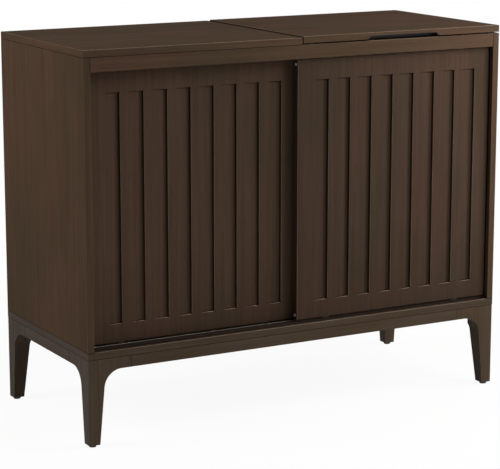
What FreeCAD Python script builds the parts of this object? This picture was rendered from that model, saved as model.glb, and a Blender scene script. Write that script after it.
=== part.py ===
"""Media console: two fluted sliding doors, a lift-up lid over a turntable well, a base on four legs.

Millimetres, +Z up, the front towards -Y, the origin on the floor at the middle of the footprint.
"""
import FreeCAD, Part
import os
import Sketcher

OUT_FOLDER = "parts"

# Driving sizes: name of the cell, value, what it measures
DRIVING_SIZES = (
    ("width", 1016, "overall width"),
    ("depth", 432, "overall depth"),
    ("height", 826, "floor to the upper face of the fixed top"),
    ("board", 15, "thickness of the carcass boards"),
    ("edge_round", 0.8, "eased edge of a board"),
    ("base_height", 188, "floor to the underside of the bottom panel"),
    ("glide_height", 5, "foot glide under a leg"),
    ("glide_radius", 9, "foot glide where it meets the leg"),
    ("foot_width", 25, "leg at its foot"),
    ("knee_width", 40, "leg where its taper would meet the ear"),
    ("cove_radius", 40, "cove between leg and ear"),
    ("ear_length", 98, "outer corner of a leg to the end of its ear"),
    ("ear_height", 25, "height of the ears and aprons"),
    ("rail_thick", 22, "thickness of the ears and aprons"),
    ("leg_round", 2.5, "rounded outer edge of a leg"),
    ("corner_block", 20, "height of a corner block"),
    ("header_height", 30, "rail over the doors"),
    ("stretcher_deep", 32, "board behind the header that carries the top track"),
    ("door_width", 496, "width of one door"),
    ("door_thick", 16, "thickness of a door"),
    ("door_recess", 12, "front of the cabinet to the face of the front door"),
    ("door_gap", 4, "air between the two doors"),
    ("door_lift", 7, "bottom panel to the lower edge of a door"),
    ("door_drop", 3, "lower edge of the header to the upper edge of a door"),
    ("door_end_gap", 2, "end of a door to the side panel"),
    ("stile", 39, "plain margin at each end of a door"),
    ("flute_count", 8, "flutes on a door"),
    ("flute_pitch", 54.3, "one flute to the next"),
    ("flute_width", 38, "sloping part of a flute"),
    ("flute_depth", 4.5, "depth of a flute at its step"),
    ("flute_foot", 39.5, "plain margin under the flutes"),
    ("flute_head", 44.5, "plain margin over the flutes"),
    ("step_round", 0.6, "eased edge of a flute's step"),
    ("roller_inset", 78, "end of a door to the middle of its roller"),
    ("wheel_radius", 10, "roller wheel"),
    ("wheel_width", 6, "roller wheel"),
    ("wheel_gap", 0.3, "wheel to the floor of the track"),
    ("axle_radius", 1.5, "roller axle"),
    ("housing_long", 36, "roller housing along the door"),
    ("housing_thick", 10, "roller housing across the door"),
    ("housing_high", 22, "roller housing"),
    ("guide_long", 26, "top guide along the door"),
    ("guide_high", 5, "part of the top guide let into the door"),
    ("guide_rise", 12, "top guide's pin above the door"),
    ("guide_radius", 3, "top guide's pin"),
    ("bumper_radius", 3.5, "bumper on the end of a door"),
    ("bumper_high", 1.5, "bumper on the end of a door"),
    ("bumper_inset", 10, "bumper to the corner of the door"),
    ("track_base", 2, "floor of the bottom track"),
    ("track_lip", 3, "lips above the floor of the bottom track"),
    ("track_wall", 1.5, "lips and walls of both tracks"),
    ("track_groove", 8, "groove that a wheel runs in"),
    ("top_track_high", 12, "top track"),
    ("top_groove", 7, "groove that a guide pin runs in"),
    ("top_groove_deep", 9, "groove that a guide pin runs in"),
    ("lid_gap", 2.5, "carcass to the underside of the lid"),
    ("seam", 2, "fixed top to the lid"),
    ("lid_inset", 9, "back of the cabinet to the rear edge of the lid"),
    ("pull_long", 186, "finger pull along the lid's lower edge"),
    ("pull_high", 8, "finger pull"),
    ("pull_deep", 15, "finger pull"),
    ("pull_wall", 1.5, "wall of the finger-pull insert"),
    ("hinge_long", 70, "hinge"),
    ("hinge_spread", 150, "middle of the lid to the middle of a hinge"),
    ("leaf_wide", 17, "hinge leaf up to the edge of the rail"),
    ("leaf_thick", 1.2, "hinge leaf"),
    ("knuckle_radius", 4, "hinge knuckle"),
    ("knuckle_gap", 0.4, "between two knuckles"),
    ("pin_radius", 2, "hinge pin"),
    ("pin_gap", 0.05, "hinge pin to its knuckle"),
    ("axis_inset", 4.5, "back panel to the hinge axis"),
    ("hinge_rail_thick", 18, "rail under the hinges"),
    ("hinge_rail_high", 60, "rail under the hinges"),
    ("back_thick", 4, "back panels"),
    ("rabbet", 7, "rabbet in a side panel for the back panel"),
    ("cable_hole", 30, "radius of a cable outlet in the back"),
    ("divider_front", 52, "front of the cabinet to the divider, shelf and deck"),
    ("deck_top", 633, "floor to the turntable deck"),
    ("shelf_low", 497, "floor to the underside of the shelf"),
    ("shelf_pin", 2.5, "radius of a shelf pin"),
    ("pin_hole", 2.6, "radius of a hole for a shelf pin"),
    ("pin_hole_deep", 10.5, "hole for a shelf pin"),
    ("pin_pitch", 40, "one pin hole to the next"),
    ("pin_front", 54, "front of the divider to the front row of pin holes"),
    ("pin_rear", 57, "back panel to the rear row of pin holes"),
    ("pin_sunk", 10, "part of a shelf pin inside its hole"),
    ("pin_long", 18, "shelf pin from end to end"),
    ("pin_flange", 1.5, "flange of a shelf pin, both its rim and its thickness"),
    ("shelf_end_gap", 2, "end of the shelf to the upright beside it"),
    ("shelf_front_gap", 4, "front of the divider to the front of the shelf"),
    ("shelf_back_gap", 6, "back panel to the shelf"),
    ("left_outlet_z", 303, "floor to the middle of the left cable outlet"),
    ("right_outlet_z", 690, "floor to the middle of the right cable outlet"),
    ("back_seam", 1, "between the two back panels"),
    ("back_drop", 5, "right back panel under the hinges"),
    ("back_screw_edge", 3, "inner face of a side panel to the back screws"),
    ("back_screw_middle", 4, "middle of the divider to the back screws"),
    ("dowel_radius", 3, "wooden dowels"),
    ("dowel_long", 20, "carcass dowel"),
    ("dowel_inset", 5, "outer face of a side panel to its dowels"),
    ("dowel_spread", 105, "middle of the cabinet to the carcass dowels"),
    ("apron_dowel_long", 40, "dowel between an apron and a leg"),
    ("cam_radius", 7.5, "cam lock"),
    ("cam_deep", 12, "cam lock"),
    ("cam_proud", 0.3, "cam lock above the board"),
    ("cam_inset", 34, "end of a board to its cam locks"),
    ("cam_spread", 145, "middle of the cabinet to the cam locks"),
    ("cam_slot_long", 9, "slot in the head of a cam lock"),
    ("cam_slot_wide", 1.8, "slot in the head of a cam lock"),
    ("cam_slot_deep", 1.2, "slot in the head of a cam lock"),
    ("block_setback", 8, "end of an ear to the end of a corner block"),
    ("bolt_radius", 3, "bolt that draws a leg to its corner block"),
    ("bolt_long", 62, "bolt that draws a leg to its corner block"),
    ("nut_radius", 6.5, "corners of a leg bolt's nut"),
    ("nut_high", 5, "leg bolt's nut"),
    ("nut_along", 6, "end of a leg bolt to its nut"),
    ("base_screw_near", 30, "outer face of the base to the nearer row of base screws"),
    ("base_screw_far", 70, "outer face of the base to the further row of base screws"),
    ("glide_taper", 1.5, "foot glide, narrower at the floor by this"),
    ("nail_radius", 1.5, "nail of a foot glide"),
    ("nail_long", 14, "nail of a foot glide"),
    ("track_edge", 2, "flat edge of the bottom track outside its lips"),
    ("wheel_chamfer", 0.8, "rim of a roller wheel"),
    ("wheel_play", 0.06, "wheel to its axle"),
    ("axle_play", 0.05, "axle to the bore of its housing"),
    ("slot_play", 2, "wheel to the ends of its slot"),
    ("slot_side_play", 0.4, "wheel to the sides of its slot"),
    ("slot_high", 18, "slot for a wheel in its housing"),
    ("bumper_taper", 0.8, "bumper, narrower at its end by this"),
    ("rest_pad", 4, "radius of a pad under the lid"),
    ("rest_pad_taper", 0.8, "pad under the lid, narrower at its end by this"),
    ("rest_pad_play", 0.3, "pad to the board that it closes on"),
    ("rest_pad_inset", 24, "end of the lid to its pads"),
    ("cut_over", 1, "how far a cut or a join runs past the face it starts from"),
)

# Screws: radius of the head, its height, radius of the shank, length under the seat of the head
BACK_SCREW = ("3.5", "1.6", "1.5", "18")
BASE_SCREW = ("4.5", "2.5", "2", "30")
LOWER_TRACK_SCREW = ("3", "1.5", "1.5", "13")
UPPER_TRACK_SCREW = ("3", "1.5", "1.5", "24")
CABINET_HINGE_SCREW = ("2.6", "Size.leaf_thick", "1.4", "16")
LID_HINGE_SCREW = ("2.6", "Size.leaf_thick", "1.4", "12")
HEAD_CROWN = "0.7"
BACK_SCREW_RISES = (30, 200, 380, 560)
TRACK_SCREW_ROWS = ("-400", "-200", "0", "200", "400")

doc = FreeCAD.newDocument("MediaConsole")
sheet = doc.addObject("Spreadsheet::Sheet", "Size")
for row, (alias, number, meaning) in enumerate(DRIVING_SIZES, start=1):
    sheet.set(f"A{row}", meaning)
    sheet.set(f"B{row}", str(number))
    sheet.setAlias(f"B{row}", alias)
doc.recompute()

# Levels and faces that several pieces share, as expressions of the driving sizes
HALF_W = "Size.width / 2"
HALF_D = "Size.depth / 2"
FRONT = "-Size.depth / 2"
INSIDE = "(Size.width / 2 - Size.board)"
FLOOR_TOP = "(Size.base_height + Size.board)"
UNDER_TOP = "(Size.height - Size.board)"
LID_UNDER = f"({UNDER_TOP} + Size.lid_gap)"
HEADER_LOW = f"({UNDER_TOP} - Size.header_height)"
HEADER_BACK = f"({FRONT} + Size.board)"
STRETCHER_LOW = f"({UNDER_TOP} - Size.board)"
DOOR_LOW = f"({FLOOR_TOP} + Size.door_lift)"
DOOR_HIGH = f"({HEADER_LOW} - Size.door_drop)"
DOOR_TALL = f"({DOOR_HIGH} - {DOOR_LOW})"
FRONT_DOOR_Y = f"({FRONT} + Size.door_recess)"
REAR_DOOR_Y = f"({FRONT_DOOR_Y} + Size.door_thick + Size.door_gap)"
FRONT_RUN = f"({FRONT_DOOR_Y} + Size.door_thick / 2)"
REAR_RUN = f"({REAR_DOOR_Y} + Size.door_thick / 2)"
TRACK_FLOOR = f"({FLOOR_TOP} + Size.track_base)"
BACK_FACE = f"({HALF_D} - Size.lid_inset)"
DIVIDER_FRONT = f"({FRONT} + Size.divider_front)"
HINGE_Y = f"({BACK_FACE} + Size.axis_inset)"
HINGE_Z = f"({UNDER_TOP} + Size.lid_gap / 2)"
LID_LEFT = "Size.seam / 2"
LID_MIDDLE = f"({HALF_W} + Size.seam / 2) / 2"
EAR_LOW = "(Size.base_height - Size.ear_height)"

X_AXIS = FreeCAD.Vector(1, 0, 0)
Y_AXIS = FreeCAD.Vector(0, 1, 0)
Z_AXIS = FreeCAD.Vector(0, 0, 1)

# Rotations that turn a piece drawn along +Z to another direction
TURN = {
    "up": FreeCAD.Rotation(),
    "down": FreeCAD.Rotation(X_AXIS, 180),
    "right": FreeCAD.Rotation(Y_AXIS, 90),
    "left": FreeCAD.Rotation(Y_AXIS, -90),
    "back": FreeCAD.Rotation(X_AXIS, -90),
    "front": FreeCAD.Rotation(X_AXIS, 90),
}

nodes = []


def keep(piece):
    """Put a finished sub-part on the list of those that are written out."""
    nodes.append(piece)
    return piece


def value(expression):
    """The number that an expression of the driving sizes comes to."""
    return float(sheet.evalExpression(expression))


def bind(item, sizes):
    """Bind properties of an item to expressions."""
    for prop, expression in sizes.items():
        item.setExpression(prop, expression)


def place(item, spot, turn="up"):
    """Turn an item and bind its position."""
    rotation = TURN[turn] if isinstance(turn, str) else turn
    item.Placement = FreeCAD.Placement(FreeCAD.Vector(), rotation)
    bind(item, {f"Placement.Base.{axis}": expression for axis, expression in zip("xyz", spot)})
    return item


def span(low, high):
    """The distance between two expressions."""
    return f"({high}) - ({low})"


def new_body(label, spot=("0", "0", "0")):
    """An empty body at a bound position."""
    return place(doc.addObject("PartDesign::Body", label), spot)


def box(owner, name, low, high, kind="Additive"):
    """Add or take away a box of a body, between two corners in the body's own frame."""
    made = owner.newObject(f"PartDesign::{kind}Box", name)
    lengths = [span(a, b) for a, b in zip(low, high)]
    bind(made, dict(zip(("Length", "Width", "Height"), lengths)))
    return place(made, low)


def drum(owner, name, spot, turn, radius, length, kind="Additive"):
    """Add or take away a cylinder of a body."""
    made = owner.newObject(f"PartDesign::{kind}Cylinder", name)
    bind(made, {"Radius": radius, "Height": length})
    return place(made, spot, turn)


def soften(owner, base, radius="Size.edge_round", chosen=None):
    """Round every edge of a body's feature, or only those that the test picks."""
    doc.recompute()
    rounding = owner.newObject("PartDesign::Fillet", f"{owner.Name}_rounding")
    edges = [f"Edge{i}" for i, edge in enumerate(base.Shape.Edges, 1) if chosen is None or chosen(edge)]
    if not edges:
        raise RuntimeError(f"{owner.Label}: no edge to round")
    rounding.Base = (base, edges)
    rounding.UseAllEdges = chosen is None
    rounding.setExpression("Radius", radius)
    return rounding


def board(label, low, high):
    """A plain board between two corners, with eased edges."""
    owner = new_body(label, low)
    blank = box(owner, f"{label}_blank", ("0", "0", "0"), [span(a, b) for a, b in zip(low, high)])
    soften(owner, blank)
    return keep(owner)


def flat_sketch(owner, name, plane):
    """An empty sketch on one of the body's own origin planes."""
    sketch = owner.newObject("Sketcher::SketchObject", name)
    support = next(item for item in owner.Origin.OriginFeatures if item.Role == plane)
    sketch.AttachmentSupport = [(support, "")]
    sketch.MapMode = "FlatFace"
    return sketch


def fix_point(sketch, geometry, position, tag, across, up):
    """Bind a point of a sketch to two expressions."""
    for kind, name, expression in (("DistanceX", "across", across), ("DistanceY", "up", up)):
        rule = Sketcher.Constraint(kind, -1, 1, geometry, position, value(expression))
        number = sketch.addConstraint(rule)
        sketch.renameConstraint(number, f"{name}_{tag}")
        sketch.setExpression(f"Constraints.{name}_{tag}", expression)


def fix_radius(sketch, geometry, tag, radius):
    """Bind the radius of a circle or an arc to an expression."""
    number = sketch.addConstraint(Sketcher.Constraint("Radius", geometry, value(radius)))
    sketch.renameConstraint(number, f"radius_{tag}")
    sketch.setExpression(f"Constraints.radius_{tag}", radius)


def outline(owner, name, plane, corners, rounded=None, radius=None):
    """A closed outline of straight lines; one corner may be rounded with an arc."""
    sketch = flat_sketch(owner, name, plane)
    points = [FreeCAD.Vector(value(across), value(up), 0) for across, up in corners]
    count = len(points)
    for i, point in enumerate(points):
        sketch.addGeometry(Part.LineSegment(point, points[(i + 1) % count]), False)
    for i in range(count):
        sketch.addConstraint(Sketcher.Constraint("Coincident", i, 2, (i + 1) % count, 1))
    if rounded is not None:
        sketch.fillet(rounded, 1, value(radius), True, True)
    for i, (across, up) in enumerate(corners):
        fix_point(sketch, count + 1 if i == rounded else i, 1, i, across, up)
    if rounded is not None:
        fix_radius(sketch, count, "cove", radius)
    return sketch


def circles(owner, name, plane, centres, radius):
    """A sketch of equal circles."""
    sketch = flat_sketch(owner, name, plane)
    for i, (across, up) in enumerate(centres):
        centre = FreeCAD.Vector(value(across), value(up), 0)
        sketch.addGeometry(Part.Circle(centre, Z_AXIS, value(radius)), False)
        fix_point(sketch, i, 3, i, across, up)
        fix_radius(sketch, i, i, radius)
    return sketch


def pad(owner, name, profile, length, reverse=False):
    """Extrude a sketch."""
    made = owner.newObject("PartDesign::Pad", name)
    made.Profile = profile
    made.Reversed = reverse
    made.setExpression("Length", length)
    return made


def pocket(owner, name, profile, length=None, reverse=False):
    """Cut a sketch into a body, to a depth or right through both ways, and make sure that it cuts."""
    doc.recompute()
    before = owner.Shape.Volume
    made = owner.newObject("PartDesign::Pocket", name)
    made.Profile = profile
    made.Reversed = reverse
    if length is None:
        made.SideType = "Symmetric"
        made.Type = "ThroughAll"
    else:
        made.setExpression("Length", length)
    doc.recompute()
    if owner.Shape.Volume >= before - 0.01:
        raise RuntimeError(f"{name} cuts nothing")
    return made


def cylinder(name, radius, length, spot=("0", "0", "0"), turn="up"):
    """A plain cylinder."""
    made = doc.addObject("Part::Cylinder", name)
    bind(made, {"Radius": radius, "Height": length})
    return place(made, spot, turn)


def cone(name, low_radius, high_radius, length, spot=("0", "0", "0"), turn="up"):
    """A plain cone."""
    made = doc.addObject("Part::Cone", name)
    bind(made, {"Radius1": low_radius, "Radius2": high_radius, "Height": length})
    return place(made, spot, turn)


def group(label, members):
    """Equal small pieces as one sub-part of several solids."""
    made = doc.addObject("Part::Compound", label)
    made.Links = members
    return keep(made)


def copies(label, kind, base, tool, spots):
    """The same joined or cut pair of shapes at many places."""
    members = []
    for i, (spot, turn) in enumerate(spots):
        member = doc.addObject(f"Part::{kind}", f"{label}_{i}")
        member.Base = base
        member.Tool = tool
        members.append(place(member, spot, turn))
    return group(label, members)


def screws(label, size, spots, sunk=False):
    """Screws driven along +Z of their own frame, with the head's seat at the origin."""
    head_radius, head_high, shank_radius, length = size
    if sunk:
        head = cone(f"{label}_head", head_radius, shank_radius, head_high)
    else:
        crown_spot = ("0", "0", f"-{head_high}")
        head = cone(f"{label}_head", f"{head_radius} * {HEAD_CROWN}", head_radius, head_high, crown_spot)
    shank = cylinder(f"{label}_shank", shank_radius, length)
    return copies(label, "Fuse", head, shank, spots)


def signed(sign, expression):
    """An expression with a sign in front."""
    return f"{sign} * ({expression})"


# Carcass: side panels with a rabbet for the back and holes for the shelf pins
PIN_ROWS = range(-3, 4)
PIN_Z = "(Size.shelf_low - Size.shelf_pin)"
PIN_DEPTHS = (f"{DIVIDER_FRONT} + Size.pin_front", f"{BACK_FACE} - Size.pin_rear")


def pin_hole_spots(y_low, z_low):
    """Centres of the shelf-pin holes on an upright, from its own lower front corner."""
    return [
        (span(y_low, depth), f"{PIN_Z} + {step} * Size.pin_pitch - ({z_low})")
        for depth in PIN_DEPTHS
        for step in PIN_ROWS
    ]


def side_panel(label, side):
    """One side of the carcass; side is -1 for the left and 1 for the right."""
    x_low = f"-{HALF_W}" if side < 0 else INSIDE
    owner = new_body(label, (x_low, FRONT, FLOOR_TOP))
    tall = span(FLOOR_TOP, UNDER_TOP)
    blank = box(owner, f"{label}_blank", ("0", "0", "0"), ("Size.board", "Size.depth", tall))
    soften(owner, blank)
    rabbet_x = "Size.board - Size.rabbet" if side < 0 else "0"
    low = (rabbet_x, span(FRONT, BACK_FACE), "0")
    high = (f"{rabbet_x} + Size.rabbet", "Size.depth", tall)
    box(owner, f"{label}_rabbet", low, high, "Subtractive")
    if side < 0:
        spots = pin_hole_spots(FRONT, FLOOR_TOP)
        holes = circles(owner, f"{label}_holes", "YZ_Plane", spots, "Size.pin_hole")
        holes.setExpression("AttachmentOffset.Base.z", "Size.board")
        pocket(owner, f"{label}_pin_holes", holes, "Size.pin_hole_deep")
    return keep(owner)


side_panel("left_side_panel", -1)
side_panel("right_side_panel", 1)
board("bottom_panel", (f"-{HALF_W}", FRONT, "Size.base_height"), (HALF_W, HALF_D, FLOOR_TOP))
board("fixed_top", (f"-{HALF_W}", FRONT, UNDER_TOP), ("-Size.seam / 2", HALF_D, "Size.height"))
board("front_header", (f"-{INSIDE}", FRONT, HEADER_LOW), (INSIDE, HEADER_BACK, UNDER_TOP))
board(
    "track_stretcher",
    (f"-{INSIDE}", HEADER_BACK, STRETCHER_LOW),
    (INSIDE, f"{HEADER_BACK} + Size.stretcher_deep", UNDER_TOP),
)
board(
    "lid_hinge_rail",
    ("Size.board / 2", f"{BACK_FACE} - Size.hinge_rail_thick", f"{UNDER_TOP} - Size.hinge_rail_high"),
    (INSIDE, BACK_FACE, UNDER_TOP),
)
board(
    "turntable_deck",
    ("Size.board / 2", DIVIDER_FRONT, "Size.deck_top - Size.board"),
    (INSIDE, BACK_FACE, "Size.deck_top"),
)
board(
    "adjustable_shelf",
    (f"-{INSIDE} + Size.shelf_end_gap", f"{DIVIDER_FRONT} + Size.shelf_front_gap", "Size.shelf_low"),
    (
        "-Size.board / 2 - Size.shelf_end_gap",
        f"{BACK_FACE} - Size.shelf_back_gap",
        "Size.shelf_low + Size.board",
    ),
)

divider = new_body("centre_divider", ("-Size.board / 2", DIVIDER_FRONT, FLOOR_TOP))
divider_blank = box(
    divider,
    "centre_divider_blank",
    ("0", "0", "0"),
    ("Size.board", span(DIVIDER_FRONT, BACK_FACE), span(FLOOR_TOP, UNDER_TOP)),
)
soften(divider, divider_blank)
divider_spots = pin_hole_spots(DIVIDER_FRONT, FLOOR_TOP)
divider_holes = circles(divider, "centre_divider_holes", "YZ_Plane", divider_spots, "Size.pin_hole")
pocket(divider, "centre_divider_pin_holes", divider_holes, "Size.pin_hole_deep", reverse=True)
keep(divider)

pin_flange = cylinder("shelf_pin_flange", "Size.shelf_pin + Size.pin_flange", "Size.pin_flange")
pin_rod = cylinder("shelf_pin_rod", "Size.shelf_pin", "Size.pin_long", ("0", "0", "-Size.pin_sunk"))
pin_spots = []
for depth in PIN_DEPTHS:
    pin_spots.append(((f"-{INSIDE}", depth, PIN_Z), "right"))
    pin_spots.append((("-Size.board / 2", depth, PIN_Z), "left"))
copies("shelf_pins", "Fuse", pin_flange, pin_rod, pin_spots)


def back_panel(label, x_low, x_high, z_high, hole_x, hole_z):
    """A back panel with a round cable outlet."""
    owner = new_body(label, (x_low, BACK_FACE, FLOOR_TOP))
    size = (span(x_low, x_high), "Size.back_thick", span(FLOOR_TOP, z_high))
    box(owner, f"{label}_blank", ("0", "0", "0"), size)
    spot = (span(x_low, hole_x), "-Size.cut_over", span(FLOOR_TOP, hole_z))
    deep = "Size.back_thick + 2 * Size.cut_over"
    drum(owner, f"{label}_outlet", spot, "back", "Size.cable_hole", deep, "Subtractive")
    return keep(owner)


HALF_SEAM = "Size.back_seam / 2"
BACK_EDGE = f"({INSIDE} + Size.rabbet - {HALF_SEAM})"
LEFT_OUTLET = ("-Size.width / 4", "Size.left_outlet_z")
RIGHT_OUTLET = ("Size.width / 4", "Size.right_outlet_z")
back_panel("left_back_panel", f"-{BACK_EDGE}", f"-{HALF_SEAM}", UNDER_TOP, *LEFT_OUTLET)
back_panel("right_back_panel", HALF_SEAM, BACK_EDGE, f"{UNDER_TOP} - Size.back_drop", *RIGHT_OUTLET)

BACK_SCREW_SIDE = f"({INSIDE} + Size.back_screw_edge)"
back_spots = []
for x in (f"-{BACK_SCREW_SIDE}", "-Size.back_screw_middle", "Size.back_screw_middle", BACK_SCREW_SIDE):
    for rise in BACK_SCREW_RISES:
        back_spots.append(((x, f"{BACK_FACE} + Size.back_thick", f"{FLOOR_TOP} + {rise}"), "front"))
screws("back_panel_screws", BACK_SCREW, back_spots)

# Hidden joinery of the carcass
DOWEL_SIDE = f"({HALF_W} - Size.dowel_inset)"
DOWEL_JOINTS = (
    (f"-{DOWEL_SIDE}", FLOOR_TOP),
    (f"-{DOWEL_SIDE}", UNDER_TOP),
    (DOWEL_SIDE, FLOOR_TOP),
    ("0", FLOOR_TOP),
)
dowels = []
for x, z in DOWEL_JOINTS:
    for y in ("-Size.dowel_spread", "Size.dowel_spread"):
        spot = (x, y, f"{z} - Size.dowel_long / 2")
        dowels.append(cylinder(f"dowel_{len(dowels)}", "Size.dowel_radius", "Size.dowel_long", spot))
group("carcass_dowels", dowels)

cam_drum = cylinder("cam_drum", "Size.cam_radius", "Size.cam_deep")
cam_slot = doc.addObject("Part::Box", "cam_slot")
cam_slot_size = ("Size.cam_slot_long", "Size.cam_slot_wide", "Size.cam_slot_deep")
bind(cam_slot, dict(zip(("Length", "Width", "Height"), cam_slot_size)))
place(cam_slot, ("-Size.cam_slot_long / 2", "-Size.cam_slot_wide / 2", "0"))
CAM_SIDE = f"({INSIDE} - Size.cam_proud)"
cam_spots = []
for y in ("-Size.cam_spread", "Size.cam_spread"):
    for z in (f"{FLOOR_TOP} + Size.cam_inset", f"{UNDER_TOP} - Size.cam_inset"):
        cam_spots.append(((f"-{CAM_SIDE}", y, z), "left"))
        cam_spots.append(((CAM_SIDE, y, z), "right"))
        cam_spots.append((("Size.board / 2 + Size.cam_proud", y, z), "left"))
    for x in ("Size.board / 2 + Size.cam_inset", f"{INSIDE} - Size.cam_inset"):
        cam_spots.append(((x, y, "Size.deck_top - Size.board - Size.cam_proud"), "up"))
copies("cam_locks", "Cut", cam_drum, cam_slot, cam_spots)

# Base: four tapered legs with two coved ears each, aprons between the ears
LEG_TALL = "(Size.base_height - Size.glide_height)"
UNDER_EAR = f"({LEG_TALL} - Size.ear_height)"
CORNERS = (("front_left", -1, -1), ("front_right", 1, -1), ("rear_left", -1, 1), ("rear_right", 1, 1))


def leg(label, side, end):
    """A leg; side and end say which corner of the cabinet its outer edge stands at."""
    owner = new_body(label, (signed(side, HALF_W), signed(end, HALF_D), "Size.glide_height"))
    low = ["0" if side < 0 else "-Size.ear_length", "0" if end < 0 else "-Size.ear_length", "0"]
    high = ["Size.ear_length" if side < 0 else "0", "Size.ear_length" if end < 0 else "0", LEG_TALL]
    box(owner, f"{label}_blank", low, high)
    for plane, sign in (("XZ_Plane", -side), ("YZ_Plane", -end)):
        corners = [
            (signed(sign, "Size.foot_width"), "0"),
            (signed(sign, "Size.knee_width"), UNDER_EAR),
            (signed(sign, "Size.ear_length"), UNDER_EAR),
            (signed(sign, "Size.ear_length"), "0"),
        ]
        profile = outline(owner, f"{label}_{plane}_profile", plane, corners, 1, "Size.cove_radius")
        pocket(owner, f"{label}_{plane}_cut", profile)
    plan = [
        ("Size.rail_thick", "Size.ear_length"),
        ("Size.rail_thick", "Size.knee_width"),
        ("Size.knee_width", "Size.knee_width"),
        ("Size.knee_width", "Size.rail_thick"),
        ("Size.ear_length", "Size.rail_thick"),
        ("Size.ear_length", "Size.ear_length"),
    ]
    plan = [(signed(-side, x), signed(-end, y)) for x, y in plan]
    last = pocket(owner, f"{label}_plan_cut", outline(owner, f"{label}_plan", "XY_Plane", plan))

    def outer_edge(edge):
        return all(abs(v.Point.x) < 0.001 and abs(v.Point.y) < 0.001 for v in edge.Vertexes)

    def shown_edge(edge):
        ends = [vertex.Point for vertex in edge.Vertexes]
        on_outside = all(min(abs(point.x), abs(point.y)) < 0.001 for point in ends)
        return on_outside or any(point.z < 0.001 for point in ends)

    soften(owner, soften(owner, last, "Size.leg_round", outer_edge), chosen=shown_edge)
    return keep(owner)


for corner, side, end in CORNERS:
    leg(f"{corner}_leg", side, end)

APRON_X = f"({HALF_W} - Size.ear_length)"
APRON_Y = f"({HALF_D} - Size.ear_length)"
APRON_ENDS = {
    "front_apron": ((f"-{APRON_X}", FRONT), (APRON_X, f"{FRONT} + Size.rail_thick")),
    "rear_apron": ((f"-{APRON_X}", f"{HALF_D} - Size.rail_thick"), (APRON_X, HALF_D)),
    "left_apron": ((f"-{HALF_W}", f"-{APRON_Y}"), (f"-{HALF_W} + Size.rail_thick", APRON_Y)),
    "right_apron": ((f"{HALF_W} - Size.rail_thick", f"-{APRON_Y}"), (HALF_W, APRON_Y)),
}
for label, (low, high) in APRON_ENDS.items():
    board(label, (*low, EAR_LOW), (*high, "Size.base_height"))

DOWEL_SIZE = ("Size.dowel_radius", "Size.apron_dowel_long")
apron_dowels = []
for corner, side, end in CORNERS:
    middle_x = signed(side, f"{HALF_W} - Size.rail_thick / 2")
    middle_y = signed(end, f"{HALF_D} - Size.rail_thick / 2")
    start_x = f"{signed(side, APRON_X)} + Size.apron_dowel_long / 2"
    start_y = f"{signed(end, APRON_Y)} + Size.apron_dowel_long / 2"
    for share in ("1 / 4", "3 / 4"):
        z = f"{EAR_LOW} + Size.ear_height * {share}"
        name = f"apron_dowel_{corner}_{len(apron_dowels)}"
        apron_dowels.append(cylinder(f"{name}_x", *DOWEL_SIZE, (start_x, middle_y, z), "left"))
        apron_dowels.append(cylinder(f"{name}_y", *DOWEL_SIZE, (middle_x, start_y, z), "front"))
group("apron_dowels", apron_dowels)

BLOCK_LOW = "(Size.base_height - Size.corner_block)"
BLOCK_REACH = "(Size.ear_length - Size.block_setback)"
blocks = []
for corner, side, end in CORNERS:
    block = new_body(f"{corner}_block", (signed(side, HALF_W), signed(end, HALF_D), BLOCK_LOW))
    plan = [
        ("Size.rail_thick", BLOCK_REACH),
        ("Size.rail_thick", "Size.knee_width"),
        ("Size.knee_width", "Size.knee_width"),
        ("Size.knee_width", "Size.rail_thick"),
        (BLOCK_REACH, "Size.rail_thick"),
    ]
    plan = [(signed(-side, x), signed(-end, y)) for x, y in plan]
    profile = outline(block, f"{corner}_block_plan", "XY_Plane", plan)
    pad(block, f"{corner}_block_pad", profile, "Size.corner_block")
    blocks.append(block)
group("corner_blocks", blocks)

bolt_nut = doc.addObject("Part::Prism", "leg_bolt_nut")
bolt_nut.Polygon = 6
bind(bolt_nut, {"Circumradius": "Size.nut_radius", "Height": "Size.nut_high"})
place(bolt_nut, ("0", "0", "Size.nut_along"))
bolt_rod = cylinder("leg_bolt_rod", "Size.bolt_radius", "Size.bolt_long")
BOLT_INSET = f"({BLOCK_REACH} + Size.rail_thick) / 2 + (Size.nut_along + Size.nut_high) / sqrt(2)"
BOLT_HEADING = {"front_left": 225, "front_right": 315, "rear_left": 135, "rear_right": 45}
BASE_SCREW_INSETS = (
    ("Size.base_screw_near", "Size.base_screw_far"),
    ("Size.base_screw_far", "Size.base_screw_near"),
)
bolt_spots = []
base_spots = []
glide_spots = []
for corner, side, end in CORNERS:
    turn = FreeCAD.Rotation(Z_AXIS, BOLT_HEADING[corner]) * TURN["right"]
    bolt_spot = (signed(side, f"{HALF_W} - ({BOLT_INSET})"), signed(end, f"{HALF_D} - ({BOLT_INSET})"))
    bolt_spots.append(((*bolt_spot, "Size.base_height - Size.corner_block / 2"), turn))
    for x_in, y_in in BASE_SCREW_INSETS:
        spot = (signed(side, f"{HALF_W} - {x_in}"), signed(end, f"{HALF_D} - {y_in}"))
        base_spots.append(((*spot, BLOCK_LOW), "up"))
    foot = (signed(side, f"{HALF_W} - Size.foot_width / 2"), signed(end, f"{HALF_D} - Size.foot_width / 2"))
    glide_spots.append(((*foot, "0"), "up"))
copies("leg_bolts", "Fuse", bolt_nut, bolt_rod, bolt_spots)
screws("base_screws", BASE_SCREW, base_spots)
glide_radii = ("Size.glide_radius - Size.glide_taper", "Size.glide_radius")
glide_pad = cone("glide_pad", *glide_radii, "Size.glide_height")
glide_nail = cylinder("glide_nail", "Size.nail_radius", "Size.nail_long", ("0", "0", "Size.glide_height"))
copies("foot_glides", "Fuse", glide_pad, glide_nail, glide_spots)

# Tracks: two runs below, with lips beside the wheels, and two grooves above for the guide pins
TRACK_LONG = f"2 * {INSIDE}"


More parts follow.
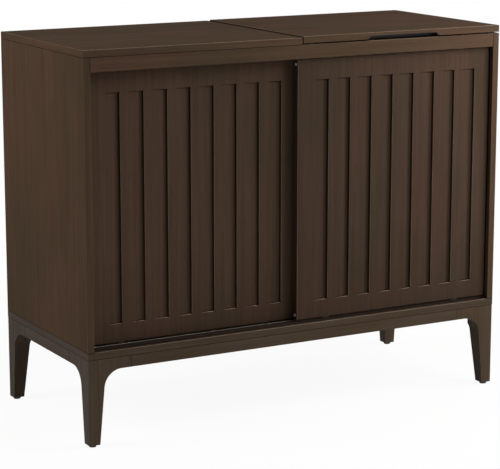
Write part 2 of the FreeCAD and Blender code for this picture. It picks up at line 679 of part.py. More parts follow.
def lip_pair(run):
    """The four y positions of the two lips beside one run."""
    half = "Size.track_groove / 2"
    return [
        f"{run} - {half} - Size.track_wall",
        f"{run} - {half}",
        f"{run} + {half}",
        f"{run} + {half} + Size.track_wall",
    ]


lower = new_body("bottom_track", (f"-{INSIDE}", "0", FLOOR_TOP))
lips = lip_pair(FRONT_RUN) + lip_pair(REAR_RUN)
lip_top = "Size.track_base + Size.track_lip"
front_edge = f"{lips[0]} - Size.track_edge"
back_edge = f"{lips[-1]} + Size.track_edge"
section = [(front_edge, "0"), (front_edge, "Size.track_base")]
for start, stop in zip(lips[0::2], lips[1::2]):
    section += [(start, "Size.track_base"), (start, lip_top), (stop, lip_top), (stop, "Size.track_base")]
section += [(back_edge, "Size.track_base"), (back_edge, "0")]
pad(lower, "bottom_track_pad", outline(lower, "bottom_track_section", "YZ_Plane", section), TRACK_LONG)
keep(lower)

TOP_TRACK_LOW = f"({STRETCHER_LOW} - Size.top_track_high)"
upper = new_body("top_track", (f"-{INSIDE}", "0", TOP_TRACK_LOW))
half_groove = "Size.top_groove / 2"
upper_back = f"{REAR_RUN} + {half_groove} + Size.track_wall"
section = [(HEADER_BACK, "Size.top_track_high"), (HEADER_BACK, "0")]
for run in (FRONT_RUN, REAR_RUN):
    section += [
        (f"{run} - {half_groove}", "0"),
        (f"{run} - {half_groove}", "Size.top_groove_deep"),
        (f"{run} + {half_groove}", "Size.top_groove_deep"),
        (f"{run} + {half_groove}", "0"),
    ]
section += [(upper_back, "0"), (upper_back, "Size.top_track_high")]
pad(upper, "top_track_pad", outline(upper, "top_track_section", "YZ_Plane", section), TRACK_LONG)
keep(upper)

between_runs = f"({FRONT_RUN} + {REAR_RUN}) / 2"
lower_spots = [((x, between_runs, TRACK_FLOOR), "down") for x in TRACK_SCREW_ROWS]
upper_spots = [((x, between_runs, TOP_TRACK_LOW), "up") for x in TRACK_SCREW_ROWS]
screws("bottom_track_screws", LOWER_TRACK_SCREW, lower_spots)
screws("top_track_screws", UPPER_TRACK_SCREW, upper_spots)

# Sliding doors
WHEEL_Z = f"({TRACK_FLOOR} + Size.wheel_gap + Size.wheel_radius)"


def flutes(owner):
    """Cut the row of sloping flutes into a door's face and ease their steps."""
    slope_end = "Size.stile + Size.flute_width"
    wedge = [("Size.stile", "0"), (slope_end, "Size.flute_depth"), (slope_end, "0")]
    profile = outline(owner, f"{owner.Name}_flute", "XY_Plane", wedge)
    profile.setExpression("AttachmentOffset.Base.z", "Size.flute_foot")
    tall = f"{DOOR_TALL} - Size.flute_foot - Size.flute_head"
    first = pocket(owner, f"{owner.Name}_first_flute", profile, tall, reverse=True)
    row = owner.newObject("PartDesign::LinearPattern", f"{owner.Name}_flute_row")
    row.Originals = [first]
    row.Direction = (profile, ["H_Axis"])
    bind(row, {"Length": "Size.flute_pitch * (Size.flute_count - 1)", "Occurrences": "Size.flute_count"})
    owner.Tip = row

    def step_edge(edge):
        ends = [vertex.Point for vertex in edge.Vertexes]
        on_face = all(abs(point.y) < 0.001 for point in ends)
        upright = all(abs(point.x - ends[0].x) < 0.001 for point in ends) and edge.Length > value(tall) / 2
        offset = ends[0].x - value(slope_end)
        steps = round(offset / value("Size.flute_pitch"))
        return on_face and upright and abs(offset - steps * value("Size.flute_pitch")) < 0.001

    soften(owner, row, "Size.step_round", step_edge)


def wheel(label, spot):
    """A roller wheel with chamfered rims, turning about Y."""
    owner = new_body(label, spot)
    half = "Size.wheel_width / 2"
    bore = "Size.axle_radius + Size.wheel_play"
    rim = "Size.wheel_radius - Size.wheel_chamfer"
    section = [
        (f"-{half}", bore),
        (half, bore),
        (half, rim),
        (f"{half} - Size.wheel_chamfer", "Size.wheel_radius"),
        (f"-{half} + Size.wheel_chamfer", "Size.wheel_radius"),
        (f"-{half}", rim),
    ]
    profile = outline(owner, f"{label}_section", "YZ_Plane", section)
    turned = owner.newObject("PartDesign::Revolution", f"{label}_turned")
    turned.Profile = profile
    turned.ReferenceAxis = (profile, ["H_Axis"])
    turned.Angle = 360
    return keep(owner)


def roller_housing(name, spot):
    """A block let into the door's lower edge, with a slot for the wheel and a bore for its axle."""
    owner = new_body(name, spot)
    half_long = "Size.housing_long / 2"
    half_thick = "Size.housing_thick / 2"
    block_low = (f"-{half_long}", f"-{half_thick}", "0")
    box(owner, f"{name}_block", block_low, (half_long, half_thick, "Size.housing_high"))
    slot_long = "(Size.wheel_radius + Size.slot_play)"
    slot_thick = "(Size.wheel_width / 2 + Size.slot_side_play)"
    slot_low = (f"-{slot_long}", f"-{slot_thick}", "-Size.cut_over")
    box(owner, f"{name}_slot", slot_low, (slot_long, slot_thick, "Size.slot_high"), "Subtractive")
    bore_spot = ("0", f"-{half_thick} - Size.cut_over", span(DOOR_LOW, WHEEL_Z))
    bore_size = ("Size.axle_radius + Size.axle_play", "Size.housing_thick + 2 * Size.cut_over")
    drum(owner, f"{name}_bore", bore_spot, "back", *bore_size, "Subtractive")
    return owner


def top_guide(name, spot):
    """A guide let into the door's upper edge, with a pin that runs in the top track."""
    owner = new_body(name, spot)
    half_long = "Size.guide_long / 2"
    half_thick = "Size.housing_thick / 2"
    low = (f"-{half_long}", f"-{half_thick}", "-Size.guide_high")
    box(owner, f"{name}_block", low, (half_long, half_thick, "0"))
    pin_size = ("Size.guide_radius", "Size.guide_rise + Size.cut_over")
    drum(owner, f"{name}_pin", ("0", "0", "-Size.cut_over"), "up", *pin_size)
    return owner


def door(name, x_low, y_low):
    """One door with its rollers, guides and bumpers."""
    panel = new_body(f"{name}_panel", (x_low, y_low, DOOR_LOW))
    blank = box(panel, f"{name}_blank", ("0", "0", "0"), ("Size.door_width", "Size.door_thick", DOOR_TALL))
    soften(panel, blank)
    flutes(panel)
    middle = f"({y_low} + Size.door_thick / 2)"
    thick_low = "Size.door_thick / 2 - Size.housing_thick / 2"
    thick_high = "Size.door_thick / 2 + Size.housing_thick / 2"
    housings = []
    axles = []
    guides = []
    bumpers = []
    for hand, along in (("left", "Size.roller_inset"), ("right", "Size.door_width - Size.roller_inset")):
        x = f"({x_low} + {along})"
        mortise_low = (f"{along} - Size.housing_long / 2", thick_low, "-Size.cut_over")
        mortise_high = (f"{along} + Size.housing_long / 2", thick_high, "Size.housing_high")
        box(panel, f"{name}_{hand}_mortise", mortise_low, mortise_high, "Subtractive")
        recess_low = (f"{along} - Size.guide_long / 2", thick_low, f"{DOOR_TALL} - Size.guide_high")
        recess_high = (f"{along} + Size.guide_long / 2", thick_high, f"{DOOR_TALL} + Size.cut_over")
        box(panel, f"{name}_{hand}_recess", recess_low, recess_high, "Subtractive")
        housings.append(roller_housing(f"{name}_{hand}_housing", (x, middle, DOOR_LOW)))
        axle_spot = (x, f"{middle} - Size.housing_thick / 2", WHEEL_Z)
        axle_size = ("Size.axle_radius", "Size.housing_thick")
        axles.append(cylinder(f"{name}_{hand}_axle", *axle_size, axle_spot, "back"))
        guides.append(top_guide(f"{name}_{hand}_guide", (x, middle, DOOR_HIGH)))
        wheel(f"{name}_{hand}_wheel", (x, middle, WHEEL_Z))
    keep(panel)
    for hand, x in (("left", x_low), ("right", f"{x_low} + Size.door_width")):
        for z in (f"{DOOR_LOW} + Size.bumper_inset", f"{DOOR_HIGH} - Size.bumper_inset"):
            title = f"{name}_{hand}_bumper_{len(bumpers)}"
            radii = ("Size.bumper_radius", "Size.bumper_radius - Size.bumper_taper")
            bumpers.append(cone(title, *radii, "Size.bumper_high", (x, middle, z), hand))
    group(f"{name}_roller_housings", housings)
    group(f"{name}_roller_axles", axles)
    group(f"{name}_top_guides", guides)
    group(f"{name}_bumpers", bumpers)


door("left_door", f"(-{INSIDE} + Size.door_end_gap)", REAR_DOOR_Y)
door("right_door", f"({INSIDE} - Size.door_end_gap - Size.door_width)", FRONT_DOOR_Y)

# Lid with a bevelled finger pull under its front edge
lid = new_body("lid_panel", (LID_LEFT, FRONT, LID_UNDER))
LID_SIZE = (span(LID_LEFT, HALF_W), span(FRONT, BACK_FACE), "Size.board")
soften(lid, box(lid, "lid_blank", ("0", "0", "0"), LID_SIZE))
PULL_MIDDLE = f"({LID_SIZE[0]}) / 2"


def pull_outline(owner, name, inset):
    """The finger pull seen from the front: its ends lean in at 45 degrees."""
    half = f"Size.pull_long / 2 - ({inset}) * sqrt(2)"
    corners = [
        (f"{PULL_MIDDLE} - ({half})", "0"),
        (f"{PULL_MIDDLE} - ({half}) + Size.pull_high - ({inset})", f"Size.pull_high - ({inset})"),
        (f"{PULL_MIDDLE} + ({half}) - Size.pull_high + ({inset})", f"Size.pull_high - ({inset})"),
        (f"{PULL_MIDDLE} + ({half})", "0"),
    ]
    return outline(owner, name, "XZ_Plane", corners)


pocket(lid, "lid_pull_cut", pull_outline(lid, "lid_pull_profile", "0"), "Size.pull_deep")
keep(lid)

pull = new_body("lid_pull", (LID_LEFT, FRONT, LID_UNDER))
pad(pull, "pull_solid", pull_outline(pull, "pull_outer", "0"), "Size.pull_deep", reverse=True)
pull_inside = pull_outline(pull, "pull_inner", "Size.pull_wall")
pocket(pull, "pull_hollow", pull_inside, "Size.pull_deep - Size.pull_wall")
keep(pull)

pads = []
pad_size = ("Size.rest_pad", "Size.rest_pad - Size.rest_pad_taper", "Size.lid_gap - Size.rest_pad_play")
for i, x in enumerate((f"{LID_LEFT} + Size.rest_pad_inset", f"{HALF_W} - Size.rest_pad_inset")):
    spot = (x, f"{FRONT} + Size.board / 2", LID_UNDER)
    pads.append(cone(f"lid_pad_{i}", *pad_size, spot, "down"))
group("lid_rest_pads", pads)

# Friction hinges: cabinet leaves on the hinge rail, lid leaves under the lid
HINGE_SPOTS = (f"{LID_MIDDLE} - Size.hinge_spread", f"{LID_MIDDLE} + Size.hinge_spread")
SCREW_ALONG = ("Size.hinge_long / 6", "Size.hinge_long / 2", "Size.hinge_long * 5 / 6")


def hinge_leaf(name, x_low, z_low, knuckles, screw, sunk_from):
    """A leaf with its knuckles; sunk_from is the face that the screw heads are flush with."""
    owner = new_body(name, (x_low, f"{BACK_FACE} - Size.leaf_wide", z_low))
    box(owner, f"{name}_plate", ("0", "0", "0"), ("Size.hinge_long", "Size.leaf_wide", "Size.leaf_thick"))
    axis = ("Size.leaf_wide + Size.axis_inset", span(z_low, HINGE_Z))
    tab_y = "Size.leaf_wide - Size.cut_over"
    for i, (start, stop) in enumerate(knuckles):
        box(owner, f"{name}_tab_{i}", (start, tab_y, "0"), (stop, axis[0], "Size.leaf_thick"))
        drum(owner, f"{name}_knuckle_{i}", (start, *axis), "right", "Size.knuckle_radius", span(start, stop))
    bore_size = ("Size.pin_radius + Size.pin_gap", "Size.hinge_long + 2 * Size.cut_over")
    drum(owner, f"{name}_bore", ("-Size.cut_over", *axis), "right", *bore_size, "Subtractive")
    head_radius, head_high, shank_radius, _ = screw
    radii = (head_radius, shank_radius) if sunk_from == "low" else (shank_radius, head_radius)
    for i, along in enumerate(SCREW_ALONG):
        sink = owner.newObject("PartDesign::SubtractiveCone", f"{name}_sink_{i}")
        bind(sink, {"Radius1": radii[0], "Radius2": radii[1], "Height": head_high})
        place(sink, (along, "Size.leaf_wide / 2", "0"))
    return owner


third = "Size.hinge_long / 3"
outer_knuckles = [
    ("0", f"{third} - Size.knuckle_gap"),
    (f"{third} * 2 + Size.knuckle_gap", "Size.hinge_long"),
]
middle_knuckle = [(third, f"{third} * 2")]
cabinet_leaves = []
lid_leaves = []
hinge_pins = []
cabinet_screws = []
lid_screws = []
LID_LEAF_LOW = f"({LID_UNDER} - Size.leaf_thick)"
for i, middle in enumerate(HINGE_SPOTS):
    x_low = f"({middle} - Size.hinge_long / 2)"
    cabinet_fit = (outer_knuckles, CABINET_HINGE_SCREW, "high")
    lid_fit = (middle_knuckle, LID_HINGE_SCREW, "low")
    cabinet_leaves.append(hinge_leaf(f"cabinet_leaf_{i}", x_low, UNDER_TOP, *cabinet_fit))
    lid_leaves.append(hinge_leaf(f"lid_leaf_{i}", x_low, LID_LEAF_LOW, *lid_fit))
    pin_spot = (x_low, HINGE_Y, HINGE_Z)
    hinge_pins.append(cylinder(f"hinge_pin_{i}", "Size.pin_radius", "Size.hinge_long", pin_spot, "right"))
    for along in SCREW_ALONG:
        spot = (f"{x_low} + {along}", f"{BACK_FACE} - Size.leaf_wide / 2")
        cabinet_screws.append(((*spot, f"{UNDER_TOP} + Size.leaf_thick"), "down"))
        lid_screws.append(((*spot, LID_LEAF_LOW), "up"))
group("hinge_cabinet_leaves", cabinet_leaves)
group("hinge_lid_leaves", lid_leaves)
group("hinge_pins", hinge_pins)
screws("hinge_cabinet_screws", CABINET_HINGE_SCREW, cabinet_screws, sunk=True)
screws("hinge_lid_screws", LID_HINGE_SCREW, lid_screws, sunk=True)

# Every object must be sound before anything is written
doc.recompute()
faults = [item.Label for item in doc.Objects if {"Invalid", "Error"} & set(item.State)]
faults += [piece.Label for piece in nodes if piece.Shape.isNull() or not piece.Shape.isValid()]
if faults:
    raise RuntimeError("unsound: " + ", ".join(faults))

os.makedirs(OUT_FOLDER, exist_ok=True)
for piece in nodes:
    piece.Shape.exportStep(os.path.join(OUT_FOLDER, f"{piece.Label}.step"))
print(len(nodes), "sub-parts written")
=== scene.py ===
"""Finishes, studio and camera for a dark wood media console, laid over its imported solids."""
import math

import bmesh
import bpy
from bpy.props import FloatProperty, FloatVectorProperty, PointerProperty
from mathutils import Euler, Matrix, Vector


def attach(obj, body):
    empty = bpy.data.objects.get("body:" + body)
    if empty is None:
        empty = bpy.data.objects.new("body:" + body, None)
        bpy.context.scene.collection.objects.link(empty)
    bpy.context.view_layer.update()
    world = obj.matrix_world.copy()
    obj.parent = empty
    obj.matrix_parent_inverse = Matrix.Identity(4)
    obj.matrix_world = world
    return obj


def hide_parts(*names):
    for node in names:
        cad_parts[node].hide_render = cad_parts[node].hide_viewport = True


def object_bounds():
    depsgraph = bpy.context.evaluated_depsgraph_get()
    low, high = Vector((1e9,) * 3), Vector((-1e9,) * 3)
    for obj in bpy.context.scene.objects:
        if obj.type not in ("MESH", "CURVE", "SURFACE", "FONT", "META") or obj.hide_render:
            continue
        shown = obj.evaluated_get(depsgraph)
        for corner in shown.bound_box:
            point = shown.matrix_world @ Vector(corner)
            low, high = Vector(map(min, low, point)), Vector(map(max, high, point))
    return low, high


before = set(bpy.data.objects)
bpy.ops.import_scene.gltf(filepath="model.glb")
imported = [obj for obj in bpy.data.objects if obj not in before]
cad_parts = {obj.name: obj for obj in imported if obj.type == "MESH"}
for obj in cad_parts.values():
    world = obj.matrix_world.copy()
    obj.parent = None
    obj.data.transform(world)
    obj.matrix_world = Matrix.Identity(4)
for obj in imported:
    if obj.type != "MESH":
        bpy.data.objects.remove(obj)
CAD_BOX = [list(corner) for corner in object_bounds()]

bl_info = {
    "name": "Media console finishes",
    "version": (1, 0, 0),
    "blender": (4, 5, 0),
    "location": "3D View > Sidebar > Console",
    "description": "Finishes, studio and camera for a media console with sliding doors and a lift-up lid",
    "category": "Object",
}

MM = 0.001
WHITE = (1, 1, 1, 1)

# Nearly all of a noise pattern lies between these two values
NOISE_SPAN = (0.3, 0.7)

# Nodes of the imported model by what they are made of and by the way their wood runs
UPRIGHT_BOARDS = ("left_side_panel", "right_side_panel", "centre_divider")
LEVEL_BOARDS = (
    "fixed_top",
    "front_header",
    "track_stretcher",
    "lid_hinge_rail",
    "turntable_deck",
    "adjustable_shelf",
)
DOORS = ("left_door", "right_door")
LEGS = ("front_left_leg", "front_right_leg", "rear_left_leg", "rear_right_leg")
LONG_APRONS = ("front_apron", "rear_apron")
SHORT_APRONS = ("left_apron", "right_apron")
BACK_PANELS = ("left_back_panel", "right_back_panel")
BARE_WOOD = ("carcass_dowels", "apron_dowels", "corner_blocks")
TRACKS = ("bottom_track", "top_track")
HINGE_LEAVES = ("hinge_cabinet_leaves", "hinge_lid_leaves")
PLATED_STEEL = (
    *HINGE_LEAVES,
    "hinge_pins",
    "shelf_pins",
    "leg_bolts",
    "left_door_roller_axles",
    "right_door_roller_axles",
)

# Screws in millimetres: node, body, way the head points, head radius and height, shank radius, sunk or not
SCREWS = (
    ("back_panel_screws", "cabinet", (0, 1, 0), 3.5, 1.6, 1.5, False),
    ("base_screws", "cabinet", (0, 0, -1), 4.5, 2.5, 2.0, False),
    ("bottom_track_screws", "cabinet", (0, 0, 1), 3.0, 1.5, 1.5, False),
    ("top_track_screws", "cabinet", (0, 0, -1), 3.0, 1.5, 1.5, False),
    ("hinge_cabinet_screws", "cabinet", (0, 0, 1), 2.6, 1.2, 1.4, True),
    ("hinge_lid_screws", "lid", (0, 0, -1), 2.6, 1.2, 1.4, True),
)

# Lamps: name, degrees to the right of the front, degrees up, metres from the console's middle, metres wide
LAMPS = (
    ("key_softbox", 54, 25, 3.2, 2.4),
    ("high_softbox", 30, 50, 3.0, 2.0),
    ("near_softbox", 48, 30, 1.4, 0.6),
    ("right_softbox", 80, 15, 2.2, 1.6),
    ("left_softbox", -100, 30, 2.8, 1.2),
    ("rear_softbox", 165, 0, 2.8, 0.8),
)


def linear(code):
    """Turn an sRGB hex colour into the linear colour that a shader takes."""
    shares = [int(code[i:i + 2], 16) / 255 for i in (1, 3, 5)]
    return tuple(s / 12.92 if s <= 0.04045 else ((s + 0.055) / 1.055) ** 2.4 for s in shares)


def opaque(colour):
    """A colour with full alpha, for a shader's socket."""
    return (*colour, 1.0)


def feed(tree, node, inputs):
    """Set inputs of a node, each to a constant or to another node's output socket."""
    for name, given in inputs.items():
        if isinstance(given, bpy.types.NodeSocket):
            tree.links.new(given, node.inputs[name])
        else:
            node.inputs[name].default_value = given


def add(tree, kind, props=None, inputs=None):
    """Add one node with its settings and its inputs, and give back its output sockets."""
    made = tree.nodes.new(kind)
    for name, setting in (props or {}).items():
        setattr(made, name, setting)
    feed(tree, made, inputs or {})
    return made.outputs


def limits(measure, start, stop, low=0.0, high=1.0):
    """Inputs that take a measure from two of its values, start and stop, to low and high."""
    return {"Value": measure, "From Min": start, "From Max": stop, "To Min": low, "To Max": high}


def product(tree, ranges):
    """Several measures multiplied, each within its limits."""
    total = 1.0
    for inputs in ranges:
        share = add(tree, "ShaderNodeMapRange", inputs=inputs)[0]
        total = add(tree, "ShaderNodeMath", {"operation": "MULTIPLY"}, {0: total, 1: share})[0]
    return total


def stretched_noise(tree, place, sizes, detail, shift=None):
    """A noise pattern with features of the given sizes along the axes; a shift varies it by piece."""
    scale = [1 / size for size in sizes]
    scaled = add(tree, "ShaderNodeMapping", inputs={"Vector": place, "Scale": scale})[0]
    inputs = {"Vector": scaled, "Scale": 1.0, "Detail": detail}
    if shift is None:
        return add(tree, "ShaderNodeTexNoise", inputs=inputs)[0]
    return add(tree, "ShaderNodeTexNoise", {"noise_dimensions": "4D"}, {**inputs, "W": shift})[0]


def mottled(tree, colour, pattern, darkest, lightest, span=NOISE_SPAN):
    """A colour that a pattern makes darker and lighter."""
    strength = add(tree, "ShaderNodeMapRange", inputs=limits(pattern, *span, darkest, lightest))[0]
    return add(tree, "ShaderNodeVectorMath", {"operation": "SCALE"}, {0: colour, "Scale": strength})[0]


def new_material(name):
    """An empty material with its tree and its one surface shader."""
    material = bpy.data.materials.new(name)
    material.use_nodes = True
    tree = material.node_tree
    return material, tree, tree.nodes["Principled BSDF"]


def dress(names, material):
    """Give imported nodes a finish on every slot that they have."""
    for name in names:
        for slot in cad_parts[name].material_slots:
            slot.material = material


class ConsoleWood(bpy.types.PropertyGroup):
    """Stain, grain and lacquer of the wood, and the light and shade painted into its colour."""

    red_stain: FloatVectorProperty(
        name="Red stain", description="Stain where it has taken warm",
        subtype="COLOR", default=linear("#4B392D"), min=0, max=1)
    olive_stain: FloatVectorProperty(
        name="Olive stain", description="Stain where it has taken cool",
        subtype="COLOR", default=linear("#43372A"), min=0, max=1)
    umber_stain: FloatVectorProperty(
        name="Umber stain", description="Stain on the doors where it has taken warm",
        subtype="COLOR", default=linear("#4A392F"), min=0, max=1)
    moss_stain: FloatVectorProperty(
        name="Moss stain", description="Stain on the doors where it has taken cool",
        subtype="COLOR", default=linear("#44382D"), min=0, max=1)
    taupe_stain: FloatVectorProperty(
        name="Taupe stain", description="Stain on solid wood where it has taken warm",
        subtype="COLOR", default=linear("#43372B"), min=0, max=1)
    # On the base the cool stain goes mostly onto faces that look left or right, as a painted grey reflection
    grey_stain: FloatVectorProperty(
        name="Grey stain", description="Stain on solid wood where it has taken cool",
        subtype="COLOR", default=linear("#4A433D"), min=0, max=1)
    # Pooled stain is the colour of the pores, and also painted shade in inner corners, seams and at the foot
    # of a flute's step
    pooled_stain: FloatVectorProperty(
        name="Pooled stain", description="Stain that gathered in pores and inner corners",
        subtype="COLOR", default=linear("#120C09"), min=0, max=1)
    # Rubbed edge is a pale colour on edges and level ledges: partly sanded wear, mostly a painted highlight
    # where light from above catches them
    rubbed_edge: FloatVectorProperty(
        name="Rubbed edge", description="Thin stain along an edge that was sanded",
        subtype="COLOR", default=linear("#C4A995"), min=0, max=1)
    streak_width: FloatProperty(
        name="Streak width", description="One streak of the grain, across it",
        unit="LENGTH", default=6 * MM)
    streak_length: FloatProperty(
        name="Streak length", description="One streak of the grain, along it",
        unit="LENGTH", default=320 * MM)
    cloud_width: FloatProperty(
        name="Cloud width", description="One cloud of the stain, across the grain",
        unit="LENGTH", default=100 * MM)
    cloud_length: FloatProperty(
        name="Cloud length", description="One cloud of the stain, along the grain",
        unit="LENGTH", default=300 * MM)
    pore_width: FloatProperty(
        name="Pore width", description="One pore across the grain, drawn coarse enough to show",
        unit="LENGTH", default=1.4 * MM)
    pore_length: FloatProperty(
        name="Pore length", description="One pore along the grain, drawn coarse enough to show",
        unit="LENGTH", default=28 * MM)
    sway: FloatProperty(
        name="Sway", description="How far the grain wanders to the side",
        unit="LENGTH", default=14 * MM)
    sway_width: FloatProperty(
        name="Sway width", description="One bend of the grain, across it",
        unit="LENGTH", default=90 * MM)
    sway_length: FloatProperty(
        name="Sway length", description="One bend of the grain, along it",
        unit="LENGTH", default=420 * MM)
    # Strip lift: partly lighter solid strips and edge bands, partly painted light on every face turned to the
    # front or back
    strip_lift: FloatProperty(
        name="Strip lift", description="How much lighter solid strips and edge bands take the stain",
        default=1.22, min=1)
    left_flitch: FloatProperty(
        name="Left flitch", description="Strength of colour of the left door's veneer",
        default=1.14, min=0)
    right_flitch: FloatProperty(
        name="Right flitch", description="Strength of colour of the right door's veneer",
        default=0.96, min=0)
    # Flute sink is painted shade on a door's sloping flutes
    flute_sink: FloatProperty(
        name="Flute sink", description="How much darker the stain is in the sloping flutes",
        default=0.89, min=0, max=1)
    # Left and right sink are painted shadow on the deep side of each flute next to its step; deep start and
    # full are the depths where it begins and is full
    left_sink: FloatProperty(
        name="Left sink", description="How much darker again it is deep in the left door's flutes",
        default=0.8, min=0, max=1)
    right_sink: FloatProperty(
        name="Right sink", description="How much darker again it is deep in the right door's flutes",
        default=0.6, min=0, max=1)
    deep_start: FloatProperty(
        name="Deep start", description="Depth in a flute where the darker stain starts",
        unit="LENGTH", default=2.95 * MM)
    deep_full: FloatProperty(
        name="Deep full", description="Depth in a flute where the darker stain is at its full strength",
        unit="LENGTH", default=3.5 * MM)
    # Left and right drift are a painted light gradient across each door: darker to the right on the left
    # door, which the right door shades, lighter to the right on the right door
    left_drift: FloatProperty(
        name="Left drift", description="Change of the left door's stain from its middle to its right edge",
        default=-0.09)
    right_drift: FloatProperty(
        name="Right drift", description="Change of the right door's stain from its middle to its right edge",
        default=0.05)
    # Foot sink and foot reach are painted shade towards each door's lower end
    foot_sink: FloatProperty(
        name="Foot sink", description="How much darker the stain is at a door's lower end",
        default=0.84, min=0, max=1)
    foot_reach: FloatProperty(
        name="Foot reach", description="How far the darker stain reaches up from a door's lower end",
        unit="LENGTH", default=200 * MM)
    # Edge reach is how far in from an edge the painted highlight reaches
    edge_reach: FloatProperty(
        name="Edge reach", description="How far sanding reached in from an edge",
        unit="LENGTH", default=1.6 * MM)
    # Corner reach, pooling and flute pooling set the reach and strength of the painted shade in inner
    # corners, seams and flute steps
    corner_reach: FloatProperty(
        name="Corner reach", description="How far pooled stain reaches out of an inner corner",
        unit="LENGTH", default=3 * MM)
    corner_shade_share: FloatProperty(
        name="Pooling", description="Share of pooled stain at the bottom of a seam or corner",
        subtype="FACTOR", default=1.0, min=0, max=1)
    flute_corner_shade: FloatProperty(
        name="Flute pooling", description="Share of pooled stain at the bottom of a flute's step",
        subtype="FACTOR", default=0.35, min=0, max=1)
    roughness: FloatProperty(
        name="Lacquer roughness", description="Roughness of the satin lacquer",
        subtype="FACTOR", default=0.78, min=0, max=1)
    gloss: FloatProperty(
        name="Lacquer gloss", description="Strength of the lacquer's reflection",
        subtype="FACTOR", default=0.007, min=0, max=1)


class ConsoleFittings(bpy.types.PropertyGroup):
    """Colours of the boards behind and of the fittings."""

    raw_hardboard: FloatVectorProperty(
        name="Raw hardboard", description="Pressed fibre on the back of the rear panels",
        subtype="COLOR", default=linear("#5E4431"), min=0, max=1)
    printed_face: FloatVectorProperty(
        name="Printed face", description="Dark paper on the inner face of the rear panels",
        subtype="COLOR", default=linear("#3D2F27"), min=0, max=1)
    black_plastic: FloatVectorProperty(
        name="Black plastic", description="Finger pull, roller housings and glides",
        subtype="COLOR", default=linear("#171615"), min=0, max=1)
    scuffed_plastic: FloatVectorProperty(
        name="Scuffed plastic", description="Drag marks under the glides",
        subtype="COLOR", default=linear("#5A5856"), min=0, max=1)
    brown_plastic: FloatVectorProperty(
        name="Brown plastic", description="Tracks of the doors",
        subtype="COLOR", default=linear("#2B221C"), min=0, max=1)
    # Worn plastic is a painted highlight on the tracks' lip
    worn_plastic: FloatVectorProperty(
        name="Worn plastic", description="Track where wheels polished it",
        subtype="COLOR", default=linear("#C4BBAF"), min=0, max=1)
    white_nylon: FloatVectorProperty(
        name="White nylon", description="Wheels and top guides",
        subtype="COLOR", default=linear("#E3DED0"), min=0, max=1)
    clear_rubber: FloatVectorProperty(
        name="Clear rubber", description="Bumpers of the doors",
        subtype="COLOR", default=linear("#E6E8E6"), min=0, max=1)
    black_rubber: FloatVectorProperty(
        name="Black rubber", description="Pads that the lid rests on",
        subtype="COLOR", default=linear("#1C1B1A"), min=0, max=1)
    bloom: FloatVectorProperty(
        name="Bloom", description="Grey film that comes out of old rubber",
        subtype="COLOR", default=linear("#3A3836"), min=0, max=1)
    pale_pine: FloatVectorProperty(
        name="Pale pine", description="Spring wood of the bare pine",
        subtype="COLOR", default=linear("#D3B68C"), min=0, max=1)
    dark_pine: FloatVectorProperty(
        name="Dark pine", description="Summer wood of the bare pine",
        subtype="COLOR", default=linear("#A97F4F"), min=0, max=1)
    cool_zinc: FloatVectorProperty(
        name="Cool zinc", description="Bluish plating on the steel",
        subtype="COLOR", default=linear("#BFC5CB"), min=0, max=1)
    warm_zinc: FloatVectorProperty(
        name="Warm zinc", description="Yellowish plating on the steel",
        subtype="COLOR", default=linear("#CBC5B4"), min=0, max=1)
    cast_zinc: FloatVectorProperty(
        name="Cast zinc", description="Cam locks",
        subtype="COLOR", default=linear("#9FA1A4"), min=0, max=1)


class ConsoleStudio(bpy.types.PropertyGroup):
    """Floor, light and camera."""

    floor_colour: FloatVectorProperty(
        name="Floor", description="Pale floor and background",
        subtype="COLOR", default=linear("#F4F4F2"), min=0, max=1)
    room_light: FloatProperty(
        name="Room light", description="Even light from all round",
        default=0.03, min=0)
    key_power: FloatProperty(
        name="Key power", description="Large softbox in front on the right",
        unit="POWER", default=30)
    high_power: FloatProperty(
        name="High power", description="Softbox high in front",
        unit="POWER", default=21.5)
    near_power: FloatProperty(
        name="Near power", description="Small softbox close to the right end",
        unit="POWER", default=7.5)
    right_power: FloatProperty(
        name="Right power", description="Low softbox on the right that grazes the front",
        unit="POWER", default=20)
    left_power: FloatProperty(
        name="Left power", description="Softbox on the left, a little behind",
        unit="POWER", default=48)
    rear_power: FloatProperty(
        name="Rear power", description="Low softbox behind, for the back",
        unit="POWER", default=22)
    lens: FloatProperty(
        name="Lens", description="Focal length for a 36 mm frame",
        default=142.3, min=1)
    camera_place: FloatVectorProperty(
        name="Camera place", description="Where the camera stands",
        subtype="TRANSLATION", unit="LENGTH", default=(-2.1211, -3.8007, 1.2614))
    camera_yaw: FloatProperty(
        name="Camera yaw", description="Turn of the camera from straight ahead to the right",
        subtype="ANGLE", default=math.radians(29.072))
    camera_pitch: FloatProperty(
        name="Camera pitch", description="Tilt of the camera below the horizon",
        subtype="ANGLE", default=math.radians(11.657))


# Kinds of wood: the settings for its cool stain, its warm stain and its painted corner shade, then the
# strength of the painted highlight on its upright edges and on its level ledges, and how far the cool stain
# keeps to faces that look left or right as a painted grey reflection
WOOD_KINDS = {
    "carcass": ("olive_stain", "red_stain", "corner_shade_share", 0.1, 0.0, 0.0),
    "door": ("moss_stain", "umber_stain", "flute_corner_shade", 0.7, 0.7, 0.0),
    "base": ("grey_stain", "taupe_stain", "corner_shade_share", 0.1, 0.0, 0.65),
}

# Between these two shares of its normal a face turned to the front or back gets lighter: partly lighter
# strips and edge bands, partly painted light
# A door's flutes slope so little that their share is close to one, as on its flat parts; the sloping flutes
# get painted shade
FRONT_FACE_TURN = (0.6, 0.8)
FLUTE_TURN = (0.9945, 0.999)


